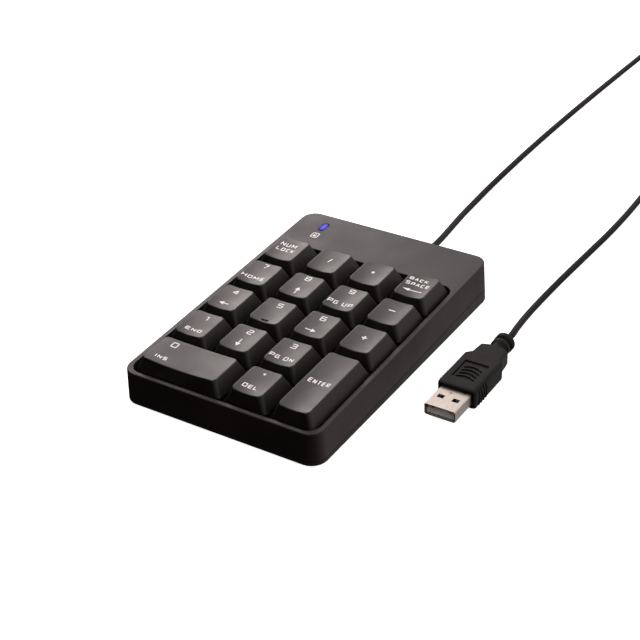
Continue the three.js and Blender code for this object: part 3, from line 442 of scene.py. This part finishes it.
# Printed legends: strokes on a unit cell, stretched to each mark's left, right, bottom and top.
strokes = {
    "A": [[(0, 0), (0.42, 1), (0.58, 1), (1, 0)], [(0.17, 0.36), (0.83, 0.36)]],
    "B": [[(0, 0.52), (0.94, 0.52), (0.94, 1), (0, 1), (0, 0), (1, 0), (1, 0.52), (0.9, 0.52)]],
    "C": [[(1, 1), (0, 1), (0, 0), (1, 0)]],
    "D": [[(0, 0), (0, 1), (1, 1), (1, 0), (0, 0)]],
    "E": [[(1, 1), (0, 1), (0, 0), (1, 0)], [(0, 0.52), (0.9, 0.52)]],
    "G": [[(1, 1), (0, 1), (0, 0), (1, 0), (1, 0.5), (0.5, 0.5)]],
    "H": [[(0, 0), (0, 1)], [(1, 0), (1, 1)], [(0, 0.52), (1, 0.52)]],
    "I": [[(0.5, 0), (0.5, 1)]],
    "K": [[(0, 0), (0, 1)], [(1, 1), (0.1, 0.5), (1, 0)]],
    "L": [[(0, 1), (0, 0), (1, 0)]],
    "M": [[(0, 0), (0, 1), (0.5, 0.3), (1, 1), (1, 0)]],
    "N": [[(0, 0), (0, 1), (1, 0), (1, 1)]],
    "O": [[(0, 0), (0, 1), (1, 1), (1, 0), (0, 0)]],
    "P": [[(0, 0), (0, 1), (1, 1), (1, 0.42), (0, 0.42)]],
    "R": [[(0, 0), (0, 1), (1, 1), (1, 0.42), (0, 0.42)], [(0.5, 0.42), (1, 0)]],
    "S": [[(1, 1), (0, 1), (0, 0.52), (1, 0.52), (1, 0), (0, 0)]],
    "T": [[(0, 1), (1, 1)], [(0.5, 1), (0.5, 0)]],
    "U": [[(0, 1), (0, 0), (1, 0), (1, 1)]],
    "0": [[(0, 0), (0, 1), (1, 1), (1, 0), (0, 0)]],
    "1": [[(0.18, 0.8), (0.55, 1), (0.55, 0)]],
    "2": [[(0, 1), (1, 1), (1, 0.52), (0, 0.52), (0, 0), (1, 0)]],
    "3": [[(0, 1), (1, 1), (1, 0), (0, 0)], [(0.2, 0.52), (1, 0.52)]],
    "4": [[(0.76, 0), (0.76, 1), (0, 0.28), (1, 0.28)]],
    "5": [[(1, 1), (0, 1), (0, 0.54), (1, 0.54), (1, 0), (0, 0)]],
    "6": [[(1, 1), (0, 1), (0, 0), (1, 0), (1, 0.54), (0, 0.54)]],
    "7": [[(0, 1), (1, 1), (0.4, 0)]],
    "8": [[(0, 0), (0, 1), (1, 1), (1, 0), (0, 0)], [(0, 0.52), (1, 0.52)]],
    "9": [[(0, 0), (1, 0), (1, 1), (0, 1), (0, 0.46), (1, 0.46)]],
    "/": [[(0, 0), (1, 1)]],
    "-": [[(0, 0.5), (1, 0.5)]],
    "+": [[(0, 0.5), (1, 0.5)], [(0.5, 0), (0.5, 1)]],
    "*": [[(0.5, 0), (0.5, 1)], [(0.07, 0.25), (0.93, 0.75)], [(0.07, 0.75), (0.93, 0.25)]],
}
letterWidths = {"M": 1.2, "I": 0.3, " ": 0.35}
legend = {
    "proud": 0.03, "sunk": 0.15, "shift": (-0.25, 0.35), "piece": 0.9, "gap": 0.34,
    "digit": 0.4, "word": 0.37, "symbol": 0.5, "shaft": 0.42,  # line widths
    "corner": {"digit": 0.32, "word": 0.16, "symbol": 0.0, "shaft": 0.0}, "cornerReach": 0.45,
    "smallCap": 0.94, "firstWide": 1.08, "digitSize": 0.93, "dotSides": 20, "sharp": 60,
}
legendHeight = legend["proud"] + legend["sunk"]
# Marks: (kind, text, left, right, bottom, top) in millimetres from the key's centre.
marks = {
    "num_lock": [("word", "NUM", -4.25, 2.75, 1.25, 3.6), ("word", "LOCK", -4.25, 3.75, -2.0, 0.2)],
    "divide": [("symbol", "/", -0.35, 0.85, -1.25, 1.75)],
    "multiply": [("shaft", "*", -0.8, 0.9, -0.4, 1.4)],
    "backspace": [("word", "BACK", -4.75, 3.0, 2.6, 4.35), ("word", "SPACE", -4.75, 5.0, -0.5, 1.5),
                  ("arrow", "left", -4.15, 3.75, -3.4, 1.5, 2.9)],
    "7": [("digit", "7", -1.4, 1.2, 3.1, 5.9), ("word", "HOME", -5.5, 4.5, -4.6, -2.6)],
    "8": [("digit", "8", -1.3, 1.3, 3.1, 5.9), ("arrow", "up", -5.5, -1.5, 0.0, 2.1, 1.8)],
    "9": [("digit", "9", -1.1, 1.5, 3.1, 5.9), ("word", "PG UP", -5.3, 5.0, -4.7, -2.5)],
    "minus": [("symbol", "-", -1.25, 1.45, 0.45, 1.05)],
    "4": [("digit", "4", -1.4, 1.2, 2.35, 5.15), ("arrow", "left", -2.25, 1.75, -3.85, 1.9, 1.8)],
    "5": [("digit", "5", -0.7, 1.9, 2.3, 5.1)],
    "6": [("digit", "6", -1.2, 1.4, 2.5, 5.3), ("arrow", "right", -2.75, 1.5, -3.85, 1.9, 1.8)],
    "plus": [("symbol", "+", -1.3, 1.3, -0.65, 1.95)],
    "1": [("digit", "1", -0.5, 2.0, 2.35, 5.15), ("word", "END", -3.5, 3.5, -4.8, -3.1)],
    "2": [("digit", "2", -0.9, 1.7, 2.35, 5.15), ("arrow", "down", -5.0, -0.85, 0.0, 2.1, 1.8)],
    "3": [("digit", "3", -1.3, 1.3, 2.35, 5.15), ("word", "PG DN", -5.25, 4.5, -4.65, -2.65)],
    "0": [("digit", "0", -10.65, -7.85, 2.25, 5.15), ("word", "INS", -12.0, -6.9, -5.0, -3.2)],
    "decimal": [("dot", "", 0.1, 4.25, 0.5), ("word", "DEL", -3.6, 2.5, -4.5, -2.5)],
    "enter": [("word", "ENTER", -4.15, 4.35, -1.6, 0.65)],
}


def roundedLine(line, corner):
    # Every bend becomes a short curve; a line whose ends meet is rounded there too.
    points = [Vector(p) for p in line]
    closed = line[0] == line[-1]
    if closed:
        points = points[:-1]
    rounded = []
    for i, point in enumerate(points):
        if not corner or (not closed and i in (0, len(points) - 1)):
            rounded.append(point)
            continue
        before, after = points[i - 1], points[(i + 1) % len(points)]
        reaches = [min(corner, (other - point).length * legend["cornerReach"]) for other in (before, after)]
        start = point + (before - point).normalized() * reaches[0]
        end = point + (after - point).normalized() * reaches[1]
        for t in (0, 0.33, 0.67, 1):
            rounded.append(start.lerp(point, t).lerp(point.lerp(end, t), t))
    return rounded, closed


def ribbonMesh(lines, width, height, corner):
    bm = bmesh.new()
    for line in lines:
        points, closed = roundedLine(line, corner)
        verts = [bm.verts.new((p.x, p.y, 0)) for p in points]
        ends = verts[1:] + verts[:1] if closed else verts[1:]
        for a, b in zip(verts, ends):
            bm.edges.new((a, b))
    long = [e for e in bm.edges if e.calc_length() > legend["piece"]]
    for e in long:
        cuts = int(e.calc_length() / legend["piece"])
        bmesh.ops.subdivide_edges(bm, edges=[e], cuts=cuts)
    raised = bmesh.ops.extrude_edge_only(bm, edges=bm.edges[:])["geom"]
    bmesh.ops.translate(bm, vec=(0, 0, height), verts=vertsOf(raised))
    mesh = bpy.data.meshes.new("ribbon")
    bm.to_mesh(mesh)
    bm.free()
    obj = bpy.data.objects.new("ribbon", mesh)
    scene.collection.objects.link(obj)
    thick = obj.modifiers.new("thickness", "SOLIDIFY")
    thick.thickness = width
    thick.offset = 0
    thick.use_even_offset = True
    made = bpy.data.meshes.new_from_object(obj.evaluated_get(bpy.context.evaluated_depsgraph_get()))
    bpy.data.objects.remove(obj)
    bpy.data.meshes.remove(mesh)
    return made


def addRibbons(bm, lines, width, height, corner=0.0, place=Matrix()):
    made = ribbonMesh(lines, width, height, corner)
    made.transform(place)
    bm.from_mesh(made)
    bpy.data.meshes.remove(made)


def fitStrokes(text, left, right, bottom, top):
    wide, high = right - left, top - bottom
    return [[(left + x * wide, bottom + y * high) for x, y in line] for line in strokes[text]]


def wordStrokes(text, left, right, bottom, top, inset):
    # The first letter of each word is a little larger, as in small capitals.
    letters = []
    for i, letter in enumerate(text):
        first = i == 0 or text[i - 1] == " "
        widening = legend["firstWide"] if first and letter != " " else 1.0
        letters.append((letter, letterWidths.get(letter, 1.0) * widening, first))
    total = sum(w for _, w, _ in letters) + legend["gap"] * (len(letters) - 1)
    unit = (right - left) / total
    lines, x = [], left
    for letter, width, first in letters:
        if letter != " ":
            high = bottom + (top - bottom) * (1.0 if first else legend["smallCap"])
            lines += fitStrokes(letter, x + inset, x + width * unit - inset, bottom + inset, high - inset)
        x += (width + legend["gap"]) * unit
    return lines


def addArrow(bm, way, start, end, across, headWidth, headLength):
    # start and end run along the arrow, across is its other coordinate.
    tipAtEnd = way in ("right", "up")
    tip, tail = (end, start) if tipAtEnd else (start, end)
    base = tip - headLength if tipAtEnd else tip + headLength
    upright = way in ("up", "down")
    shaft = [(across, tail), (across, base)] if upright else [(tail, across), (base, across)]
    addRibbons(bm, [shaft], legend["shaft"], legendHeight)
    head = bmesh.new()
    made = bmesh.ops.create_circle(head, cap_ends=True, segments=3, radius=1)["verts"]
    # The triangle of radius 1 points along +Y: its tip is at 1 and its base, 1.732 wide, at -0.5.
    bmesh.ops.translate(head, vec=(0, 0.5, 0), verts=made)
    bmesh.ops.scale(head, vec=(headWidth / math.sqrt(3), headLength / 1.5, 1), verts=made)
    turns = {"up": 0, "left": 90, "down": 180, "right": -90}
    middle = (across, base, 0) if upright else (base, across, 0)
    place = Matrix.Translation(middle) @ Matrix.Rotation(math.radians(turns[way]), 4, "Z")
    bmesh.ops.transform(head, matrix=place, verts=head.verts)
    bmesh.ops.subdivide_edges(head, edges=head.edges[:], cuts=2, use_grid_fill=True)
    top = bmesh.ops.extrude_face_region(head, geom=head.faces[:], use_keep_orig=True)["geom"]
    bmesh.ops.translate(head, vec=(0, 0, legendHeight), verts=vertsOf(top))
    bmesh.ops.recalc_face_normals(head, faces=head.faces)
    joinInto(bm, head)


def addDot(bm, x, y, radius):
    bmesh.ops.create_cone(bm, cap_ends=True, segments=legend["dotSides"], radius1=radius, radius2=radius,
                          depth=legendHeight, matrix=Matrix.Translation((x, y, legendHeight / 2)))


def makeLegend(name):
    bm = bmesh.new()
    for mark in marks[name]:
        kind, text = mark[0], mark[1]
        if kind == "arrow":
            addArrow(bm, text, *mark[2:])
        elif kind == "dot":
            addDot(bm, *mark[2:])
        else:
            width = legend[kind]
            inset = width / 2
            left, right, bottom, top = mark[2:]
            if kind == "digit":
                inset += (top - bottom) * (1 - legend["digitSize"]) / 2
            if kind == "word":
                lines = wordStrokes(text, left, right, bottom, top, inset)
            elif text == "-":
                lines = fitStrokes(text, left, right, bottom, top)
            else:
                lines = fitStrokes(text, left + inset, right - inset, bottom + inset, top - inset)
            addRibbons(bm, lines, width, legendHeight, legend["corner"][kind])
    bmesh.ops.translate(bm, vec=(*legend["shift"], 0), verts=bm.verts)
    for v in bm.verts:
        above = legend["proud"] if v.co.z > legendHeight / 2 else -legend["sunk"]
        v.co.z = topSurface(name, v.co.x, v.co.y) + above
    finishPiece("legend_" + name, bm, onDeck(*keyPlace(name)), "legendInk", "key_" + name,
                sharpAngle=legend["sharp"])


for keyName in marks:
    makeLegend(keyName)
print("legends printed:", len(marks))

# The raised bar that marks the middle key for the finger.
homingBar = {"place": (0.0, -5.6), "size": (3.0, 0.55), "proud": 0.35, "sunk": 0.3, "round": 0.22}


def makeHomingBar():
    bm = bmesh.new()
    u, v = homingBar["place"]
    surface = topSurface("5", u, v)
    halfU, halfV = (side / 2 for side in homingBar["size"])
    addBox(bm, (u - halfU, v - halfV, surface - homingBar["sunk"]),
           (u + halfU, v + halfV, surface + homingBar["proud"]))
    upper = [e for e in bm.edges if max(e.verts[0].co.z, e.verts[1].co.z) > surface]
    roundEdges(bm, upper, homingBar["round"], 3)
    finishPiece("homing_bar", bm, onDeck(*keyPlace("5")), "capPlastic", "key_5")


makeHomingBar()

# Lugs that hang under the two long keycaps and hold the stabiliser wire's hooked ends.
lug = {"outer": 11.8, "inner": 10.6, "tip": (0.86, -0.4), "slot": 0.7, "top": 2.9,
       "front": 1.7, "back": 2.0, "slotEnd": 0.9, "floor": 0.5, "overlap": 0.1}


def makeLugs(name, turn):
    bm = bmesh.new()
    tipV, tipW = lug["tip"]
    front, back = tipV - lug["front"], tipV + lug["back"]
    low, high = tipW - lug["slot"], tipW + lug["slot"]
    for side in (-1, 1):
        left, right = sorted((side * lug["inner"], side * lug["outer"]))
        addBox(bm, (left, front, low - lug["floor"]), (right, back, low))
        addBox(bm, (left, tipV + lug["slotEnd"], low - lug["overlap"]), (right, back, high + lug["overlap"]))
        addBox(bm, (left, front, high), (right, back, lug["top"]))
    bmesh.ops.rotate(bm, cent=(0, 0, 0), matrix=Matrix.Rotation(turn, 3, "Z"), verts=bm.verts)
    finishPiece("cap_lugs_" + name, bm, onDeck(*keyPlace(name)), "capPlastic", "key_" + name)


makeLugs("0", 0.0)
makeLugs("enter", math.pi / 2)

# Case covers, feet, screws and grommet: the frame's own shapes, merged and smoothly shaded.
# Edges to round: how far they lie below the rim's sloping plane, and from the middle at most, in millimetres.
coverEdges = {
    "well": {"drop": 0.0, "size": 0.35, "within": 39.2},
    "parting": {"drop": 11.5, "size": 0.12, "within": 100.0},
}


def rimDrop(place):
    return deck["rimHeight"] * mm + math.tan(slope) * place.y - place.z


def sharpEdges(bm, test, angle=60):
    return [e for e in bm.edges if len(e.link_faces) == 2 and test(e.verts[0].co) and test(e.verts[1].co)
            and e.calc_face_angle(0) > math.radians(angle)]


def makeCover(node, material, edge):
    bm = mergedCopy(node)

    def onEdge(place):
        return abs(rimDrop(place) - edge["drop"] * mm) < 3 * tiny * mm and abs(place.x) < edge["within"] * mm

    picked = sharpEdges(bm, onEdge)
    if picked:
        roundEdges(bm, picked, edge["size"] * mm, 3, clamp=True)
    obj = finishPiece(node + "_shell", bm, Matrix(), material, "case", sharpAngle=50)
    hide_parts(node)


makeCover("top_cover", "casePlastic", coverEdges["well"])
makeCover("bottom_cover", "basePlastic", coverEdges["parting"])


def makeSmooth(node, material, sharpAngle=40):
    obj = finishPiece(node + "_skin", mergedCopy(node), Matrix(), material, "case", sharpAngle)
    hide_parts(node)
    return obj


for corner in ("front_left", "front_right", "rear_left", "rear_right"):
    makeSmooth("rubber_foot_" + corner, "footRubber")
    makeSmooth("case_screw_" + corner, "screwSteel")
grommetSkin = makeSmooth("cable_grommet", "gripVinyl", 50)
print("case covers finished")

# The number-lock lamp's window and the symbol printed beside it.
lampWindow = {
    "place": (-28.5, 63.9), "size": (2.3, 5.6), "low": -2.2, "high": 0.15, "round": 1.1, "edge": 0.3,
    "body": (0.008, 0.008, 0.10), "middle": (0.07, 0.08, 0.78), "rim": (0.004, 0.002, 0.10),
    "glowSpread": (0.0022, 0.0031, 0.01), "glowReach": (0.15, 0.95),
    "glow": 1.0, "rough": 0.35, "specular": 0.05,
}


def makeGlow():
    material = bpy.data.materials.new("lampGlow")
    material.use_nodes = True
    nodes, links = material.node_tree.nodes, material.node_tree.links
    shader = nodes["Principled BSDF"]
    shader.inputs["Base Color"].default_value = (*lampWindow["body"], 1)
    shader.inputs["Roughness"].default_value = lampWindow["rough"]
    shader.inputs["Specular IOR Level"].default_value = lampWindow["specular"]
    shader.inputs["Emission Strength"].default_value = lampWindow["glow"]
    coords = addNode(nodes, "TexCoord")
    centre = addNode(nodes, "Mapping")
    centre.vector_type = "TEXTURE"
    centre.inputs["Location"].default_value = onDeck(*lampWindow["place"]).translation
    centre.inputs["Scale"].default_value = lampWindow["glowSpread"]
    links.new(coords.outputs["Object"], centre.inputs["Vector"])
    spread = addNode(nodes, "VectorMath", operation="LENGTH")
    links.new(centre.outputs["Vector"], spread.inputs[0])
    ramp = addRamp(nodes, lampWindow["glowReach"], (lampWindow["middle"], lampWindow["rim"]))
    links.new(spread.outputs["Value"], ramp.inputs["Fac"])
    links.new(ramp.outputs["Color"], shader.inputs["Emission Color"])
    return material


materials["lampGlow"] = makeGlow()


def makeLens():
    bm = bmesh.new()
    halfU, halfV = (side / 2 for side in lampWindow["size"])
    addBox(bm, (-halfU, -halfV, lampWindow["low"]), (halfU, halfV, lampWindow["high"]))
    upright = [e for e in bm.edges if abs(e.verts[0].co.z - e.verts[1].co.z) > 1]
    roundEdges(bm, upright, lampWindow["round"], 8)
    upper = sharpEdges(bm, lambda place: place.z > lampWindow["high"] - tiny)
    roundEdges(bm, upper, lampWindow["edge"], 4)
    obj = finishPiece("lamp_window", bm, onDeck(*lampWindow["place"]), "lampGlow", "case")
    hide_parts("lamp_lens")


makeLens()
lockSymbol = {
    "left": -29.75, "right": -27.05, "bottom": 55.5, "top": 58.7, "line": 0.36, "corner": 0.55,
    "shackleHalf": 0.36, "shackleLow": 1.4, "shackleHigh": 0.6, "shackleLine": 0.22, "shackleCorner": 0.3,
    "bodyHalf": 0.62, "bodyLow": 0.65, "bodyHigh": 1.6,
}


def makeLockSymbol():
    bm = bmesh.new()
    left, right, bottom, top = (lockSymbol[k] for k in ("left", "right", "bottom", "top"))
    outline = [(left, bottom), (left, top), (right, top), (right, bottom), (left, bottom)]
    addRibbons(bm, [outline], lockSymbol["line"], legendHeight, lockSymbol["corner"])
    middle = (left + right) / 2
    low, high = bottom + lockSymbol["shackleLow"], top - lockSymbol["shackleHigh"]
    shackle = [(middle + side * lockSymbol["shackleHalf"], v)
               for side, v in ((-1, low), (-1, high), (1, high), (1, low))]
    addRibbons(bm, [shackle], lockSymbol["shackleLine"], legendHeight, lockSymbol["shackleCorner"])
    addBox(bm, (middle - lockSymbol["bodyHalf"], bottom + lockSymbol["bodyLow"], 0),
           (middle + lockSymbol["bodyHalf"], bottom + lockSymbol["bodyHigh"], legendHeight))
    bmesh.ops.translate(bm, vec=(0, 0, -legend["sunk"]), verts=bm.verts)
    finishPiece("lock_symbol", bm, onDeck(0, 0), "legendInk", "case", sharpAngle=legend["sharp"])


makeLockSymbol()
print("lamp window and symbol made")

# Rubber domes, one under each key, on a sheet that stays flat.
domes = {
    "sheetTop": -8.8, "sheetBottom": -9.2, "clearance": 0.05, "keep": 0.16, "steps": 24,
    "profile": [(0.0, -6.3), (1.7, -6.3), (3.5, -8.9), (3.5, -9.2), (4.3, -9.2), (4.2, -8.8), (2.4, -5.75),
                (2.2, -5.6), (0.0, -5.6)],
}


def makeDome(name):
    bm = bmesh.new()
    verts = [bm.verts.new((r, 0, w)) for r, w in domes["profile"]]
    edges = [bm.edges.new(pair) for pair in zip(verts, verts[1:])]
    bmesh.ops.spin(bm, geom=verts + edges, cent=(0, 0, 0), axis=(0, 0, 1), angle=2 * math.pi,
                   steps=domes["steps"], use_merge=True)
    bmesh.ops.remove_doubles(bm, verts=bm.verts, dist=0.001)
    bmesh.ops.recalc_face_normals(bm, faces=bm.faces)
    place = onDeck(*keyPlace(name))
    obj = finishPiece("dome_" + name, bm, place, "domeSilicone", "case")
    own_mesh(obj)


def makeDomeSheet():
    # The frame's own domes come off, and the flat web left between them is closed.
    bm = mergedCopy("dome_sheet")
    toDeck = deckMatrix.inverted()
    webTop = (domes["sheetTop"] + domes["clearance"]) * mm
    tall = [v for v in bm.verts if (toDeck @ v.co).z > webTop]
    bmesh.ops.delete(bm, geom=tall, context="VERTS")
    loose = [e for e in bm.edges if len(e.link_faces) == 1]
    bmesh.ops.holes_fill(bm, edges=loose, sides=0)
    bmesh.ops.recalc_face_normals(bm, faces=bm.faces)
    obj = finishPiece("dome_sheet_web", bm, Matrix(), "domeSilicone", "case")
    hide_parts("dome_sheet")


for keyName, _, _ in keyRows:
    makeDome(keyName)
makeDomeSheet()
print("domes made")

# The plug: a moulded grip with thumb ridges and side ribs, and the folded metal shell.
plug = {
    "x": 63.0, "z": 4.0, "front": -6.9, "halfWidth": 7.5, "panelFloor": 3.5, "sunk": 0.1,
    "ridges": (7.4, 9.4, 11.4, 13.4), "ridgeRadius": 5.2, "ridgeArc": 40, "ridgeWidth": 0.55,
    "ridgeHeight": 0.42, "ribs": (2.6, 4.3, 6.0, 7.7), "ribHalf": 3.1, "ribBow": 1.1, "ribWidth": 0.6,
    "ribHeight": 0.26, "shellInside": (5.99, 2.24), "shellRound": 0.55,
}


def arcLine(cx, cy, radius, start, end, steps=10):
    angles = [math.radians(start + (end - start) * i / steps) for i in range(steps + 1)]
    return [(cx + radius * math.cos(a), cy + radius * math.sin(a)) for a in angles]


def makeGrip():
    bm = mergedCopy("plug_grip")
    details = bmesh.new()
    front, sunk, radius, arc = (plug[k] for k in ("front", "sunk", "ridgeRadius", "ridgeArc"))
    arcs = [arcLine(plug["x"], front + y - radius, radius, 90 - arc, 90 + arc) for y in plug["ridges"]]
    lift = Matrix.Translation((0, 0, plug["z"] + plug["panelFloor"] - sunk))
    addRibbons(details, arcs, plug["ridgeWidth"], plug["ridgeHeight"] + sunk, place=lift)
    heights = [t / 4 for t in range(-4, 5)]
    bows = [[(front + y + plug["ribBow"] * (1 - t * t), plug["z"] + plug["ribHalf"] * t) for t in heights]
            for y in plug["ribs"]]
    for side in (-1, 1):
        # The ribs are drawn flat, then stood up against the side face.
        sideX = plug["x"] + side * (plug["halfWidth"] - sunk)
        stand = Matrix(((0, 0, side, sideX), (1, 0, 0, 0), (0, 1, 0, 0), (0, 0, 0, 1)))
        addRibbons(details, bows, plug["ribWidth"], plug["ribHeight"] + sunk, place=stand)
    bmesh.ops.recalc_face_normals(details, faces=details.faces)
    bmesh.ops.transform(details, matrix=millimetres, verts=details.verts)
    joinInto(bm, details)
    obj = finishPiece("plug_grip_body", bm, Matrix(), "gripVinyl", "case", 42)
    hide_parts("plug_grip")
    return obj


def makeShell():
    bm = mergedCopy("plug_shell")
    halfWidth, halfHeight = (size * mm for size in plug["shellInside"])

    def outer(place):
        return abs(place.x - plug["x"] * mm) > halfWidth and abs(place.z - plug["z"] * mm) > halfHeight

    lengthways = [e for e in bm.edges if outer(e.verts[0].co) and outer(e.verts[1].co)
                  and abs(e.verts[0].co.y - e.verts[1].co.y) > mm]
    roundEdges(bm, lengthways, plug["shellRound"] * mm, 4)
    obj = finishPiece("plug_shell_body", bm, Matrix(), "shellNickel", "case", 40)
    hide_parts("plug_shell")
    return obj


gripBody = makeGrip()
shellBody = makeShell()
print("plug made")

# Finishes for the frame's own nodes, most of them inside the case.
nodeFinishes = {
    "key_guide_plate": "guidePlastic", "upper_membrane": "contactFilm", "spacer_membrane": "contactFilm",
    "lower_membrane": "contactFilm", "steel_backing_plate": "zincSheet", "controller_board": "solderMask",
    "controller_chip": "chipEpoxy", "num_lock_lamp": "lampBody", "cable_header": "headerNylon",
    "inner_lead": "cordVinyl", "coil_tie": "tieRubber", "plug_tongue": "tonguePlastic",
    "stabiliser_wire_0": "springSteel", "stabiliser_wire_enter": "springSteel",
}
for i in range(1, 5):
    nodeFinishes["plate_screw_%d" % i] = "screwSteel"
    nodeFinishes["plug_contact_%d" % i] = "contactGold"
for node, finish in nodeFinishes.items():
    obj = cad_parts[node]
    if not obj.material_slots:
        obj.data.materials.append(materials[finish])
    for place in obj.material_slots:
        place.material = materials[finish]
print("node finishes set:", len(nodeFinishes))

# Floor, backdrop and lights; lengths in metres.
backdrop = {"floor": 24.0, "radius": 20.0, "height": 16.0, "sides": 96}
light = {
    "tint": (1.0, 0.915, 0.905), "aim": (0.01, 0.0, 0.01), "floorGlow": 0.85,
    "lamps": [  # name, power, place and size
        ("keyLight", 1.9, (-0.42, 0.42, 0.31), 0.32),
        ("topLight", 1.0, (-0.1, 0.3, 1.4), 1.2),
        ("glintLight", 0.12, (-0.1, 0.62, 0.75), 0.06),
    ],
}
sky = {
    "strength": 1.15, "below": 0.03, "horizon": -0.05, "high": 0.6,  # by height
    "glowWay": (0.5, 0.85, 0.0), "front": 0.11, "frontFrom": -0.9, "frontTo": 0.2,  # by direction
    "rearGlow": 0.6, "rearTo": 0.8,
}


def makeFloor():
    bm = bmesh.new()
    bmesh.ops.create_grid(bm, x_segments=1, y_segments=1, size=backdrop["floor"])
    mesh = bpy.data.meshes.new("floor")
    bm.to_mesh(mesh)
    bm.free()
    floor = addObject("floor", mesh, materials["floorPaper"])
    # A softly lit table top that doesn't shine back onto the keypad, so that its sides stay dark.
    shader = materials["floorPaper"].node_tree.nodes["Principled BSDF"]
    shader.inputs["Emission Color"].default_value = (1, 1, 1, 1)
    shader.inputs["Emission Strength"].default_value = light["floorGlow"]
    floor.visible_diffuse = False
    floor.visible_glossy = False


def makeBackdrop():
    # A pale round wall far behind the floor, only to be looked at: it neither lights nor shades anything.
    bm = bmesh.new()
    bmesh.ops.create_circle(bm, segments=backdrop["sides"], radius=backdrop["radius"])
    upper = vertsOf(bmesh.ops.extrude_edge_only(bm, edges=bm.edges)["geom"])
    bmesh.ops.translate(bm, vec=(0, 0, backdrop["height"]), verts=upper)
    mesh = bpy.data.meshes.new("backdrop")
    bm.to_mesh(mesh)
    bm.free()
    wall = addObject("backdrop", mesh, materials["floorPaper"])
    for kind in ("diffuse", "glossy", "transmission", "shadow"):
        setattr(wall, "visible_" + kind, False)


def makeLight(name, power, place, size):
    data = bpy.data.lights.new(name, "AREA")
    data.energy = power
    data.color = light["tint"]
    data.shape = "DISK"
    data.size = size
    obj = bpy.data.objects.new(name, data)
    scene.collection.objects.link(obj)
    obj.visible_camera = False
    aim = Vector(light["aim"]) - Vector(place)
    obj.matrix_world = Matrix.Translation(place) @ aim.to_track_quat("-Z", "Y").to_matrix().to_4x4()


def makeSky():
    # A pale sky that darkens towards and below the horizon, with a paler wall behind and to the right.
    world = bpy.data.worlds.new("studio")
    world.use_nodes = True
    nodes, links = world.node_tree.nodes, world.node_tree.links
    coords = addNode(nodes, "TexCoord")
    split = addNode(nodes, "SeparateXYZ")
    links.new(coords.outputs["Generated"], split.inputs["Vector"])
    height = addNode(nodes, "MapRange", {"From Min": sky["horizon"], "From Max": sky["high"],
                                         "To Min": sky["below"], "To Max": sky["strength"]})
    links.new(split.outputs["Z"], height.inputs["Value"])
    facing = addNode(nodes, "VectorMath", {1: sky["glowWay"]}, "DOT_PRODUCT")
    links.new(coords.outputs["Generated"], facing.inputs[0])
    wall = addNode(nodes, "MapRange", {"From Max": sky["rearTo"], "To Max": sky["rearGlow"]})
    shade = addNode(nodes, "MapRange", {"From Min": sky["frontFrom"], "From Max": sky["frontTo"],
                                        "To Min": sky["front"]})
    for change in (wall, shade):
        links.new(facing.outputs["Value"], change.inputs["Value"])
    shaded = addNode(nodes, "Math", operation="MULTIPLY")
    links.new(height.outputs["Result"], shaded.inputs[0])
    links.new(shade.outputs["Result"], shaded.inputs[1])
    total = addNode(nodes, "Math", operation="ADD")
    links.new(shaded.outputs["Value"], total.inputs[0])
    links.new(wall.outputs["Result"], total.inputs[1])
    links.new(total.outputs["Value"], nodes["Background"].inputs["Strength"])
    nodes["Background"].inputs["Color"].default_value = (*light["tint"], 1)
    scene.world = world


makeFloor()
makeBackdrop()
makeSky()
for lamp in light["lamps"]:
    makeLight(*lamp)
print("stage set")
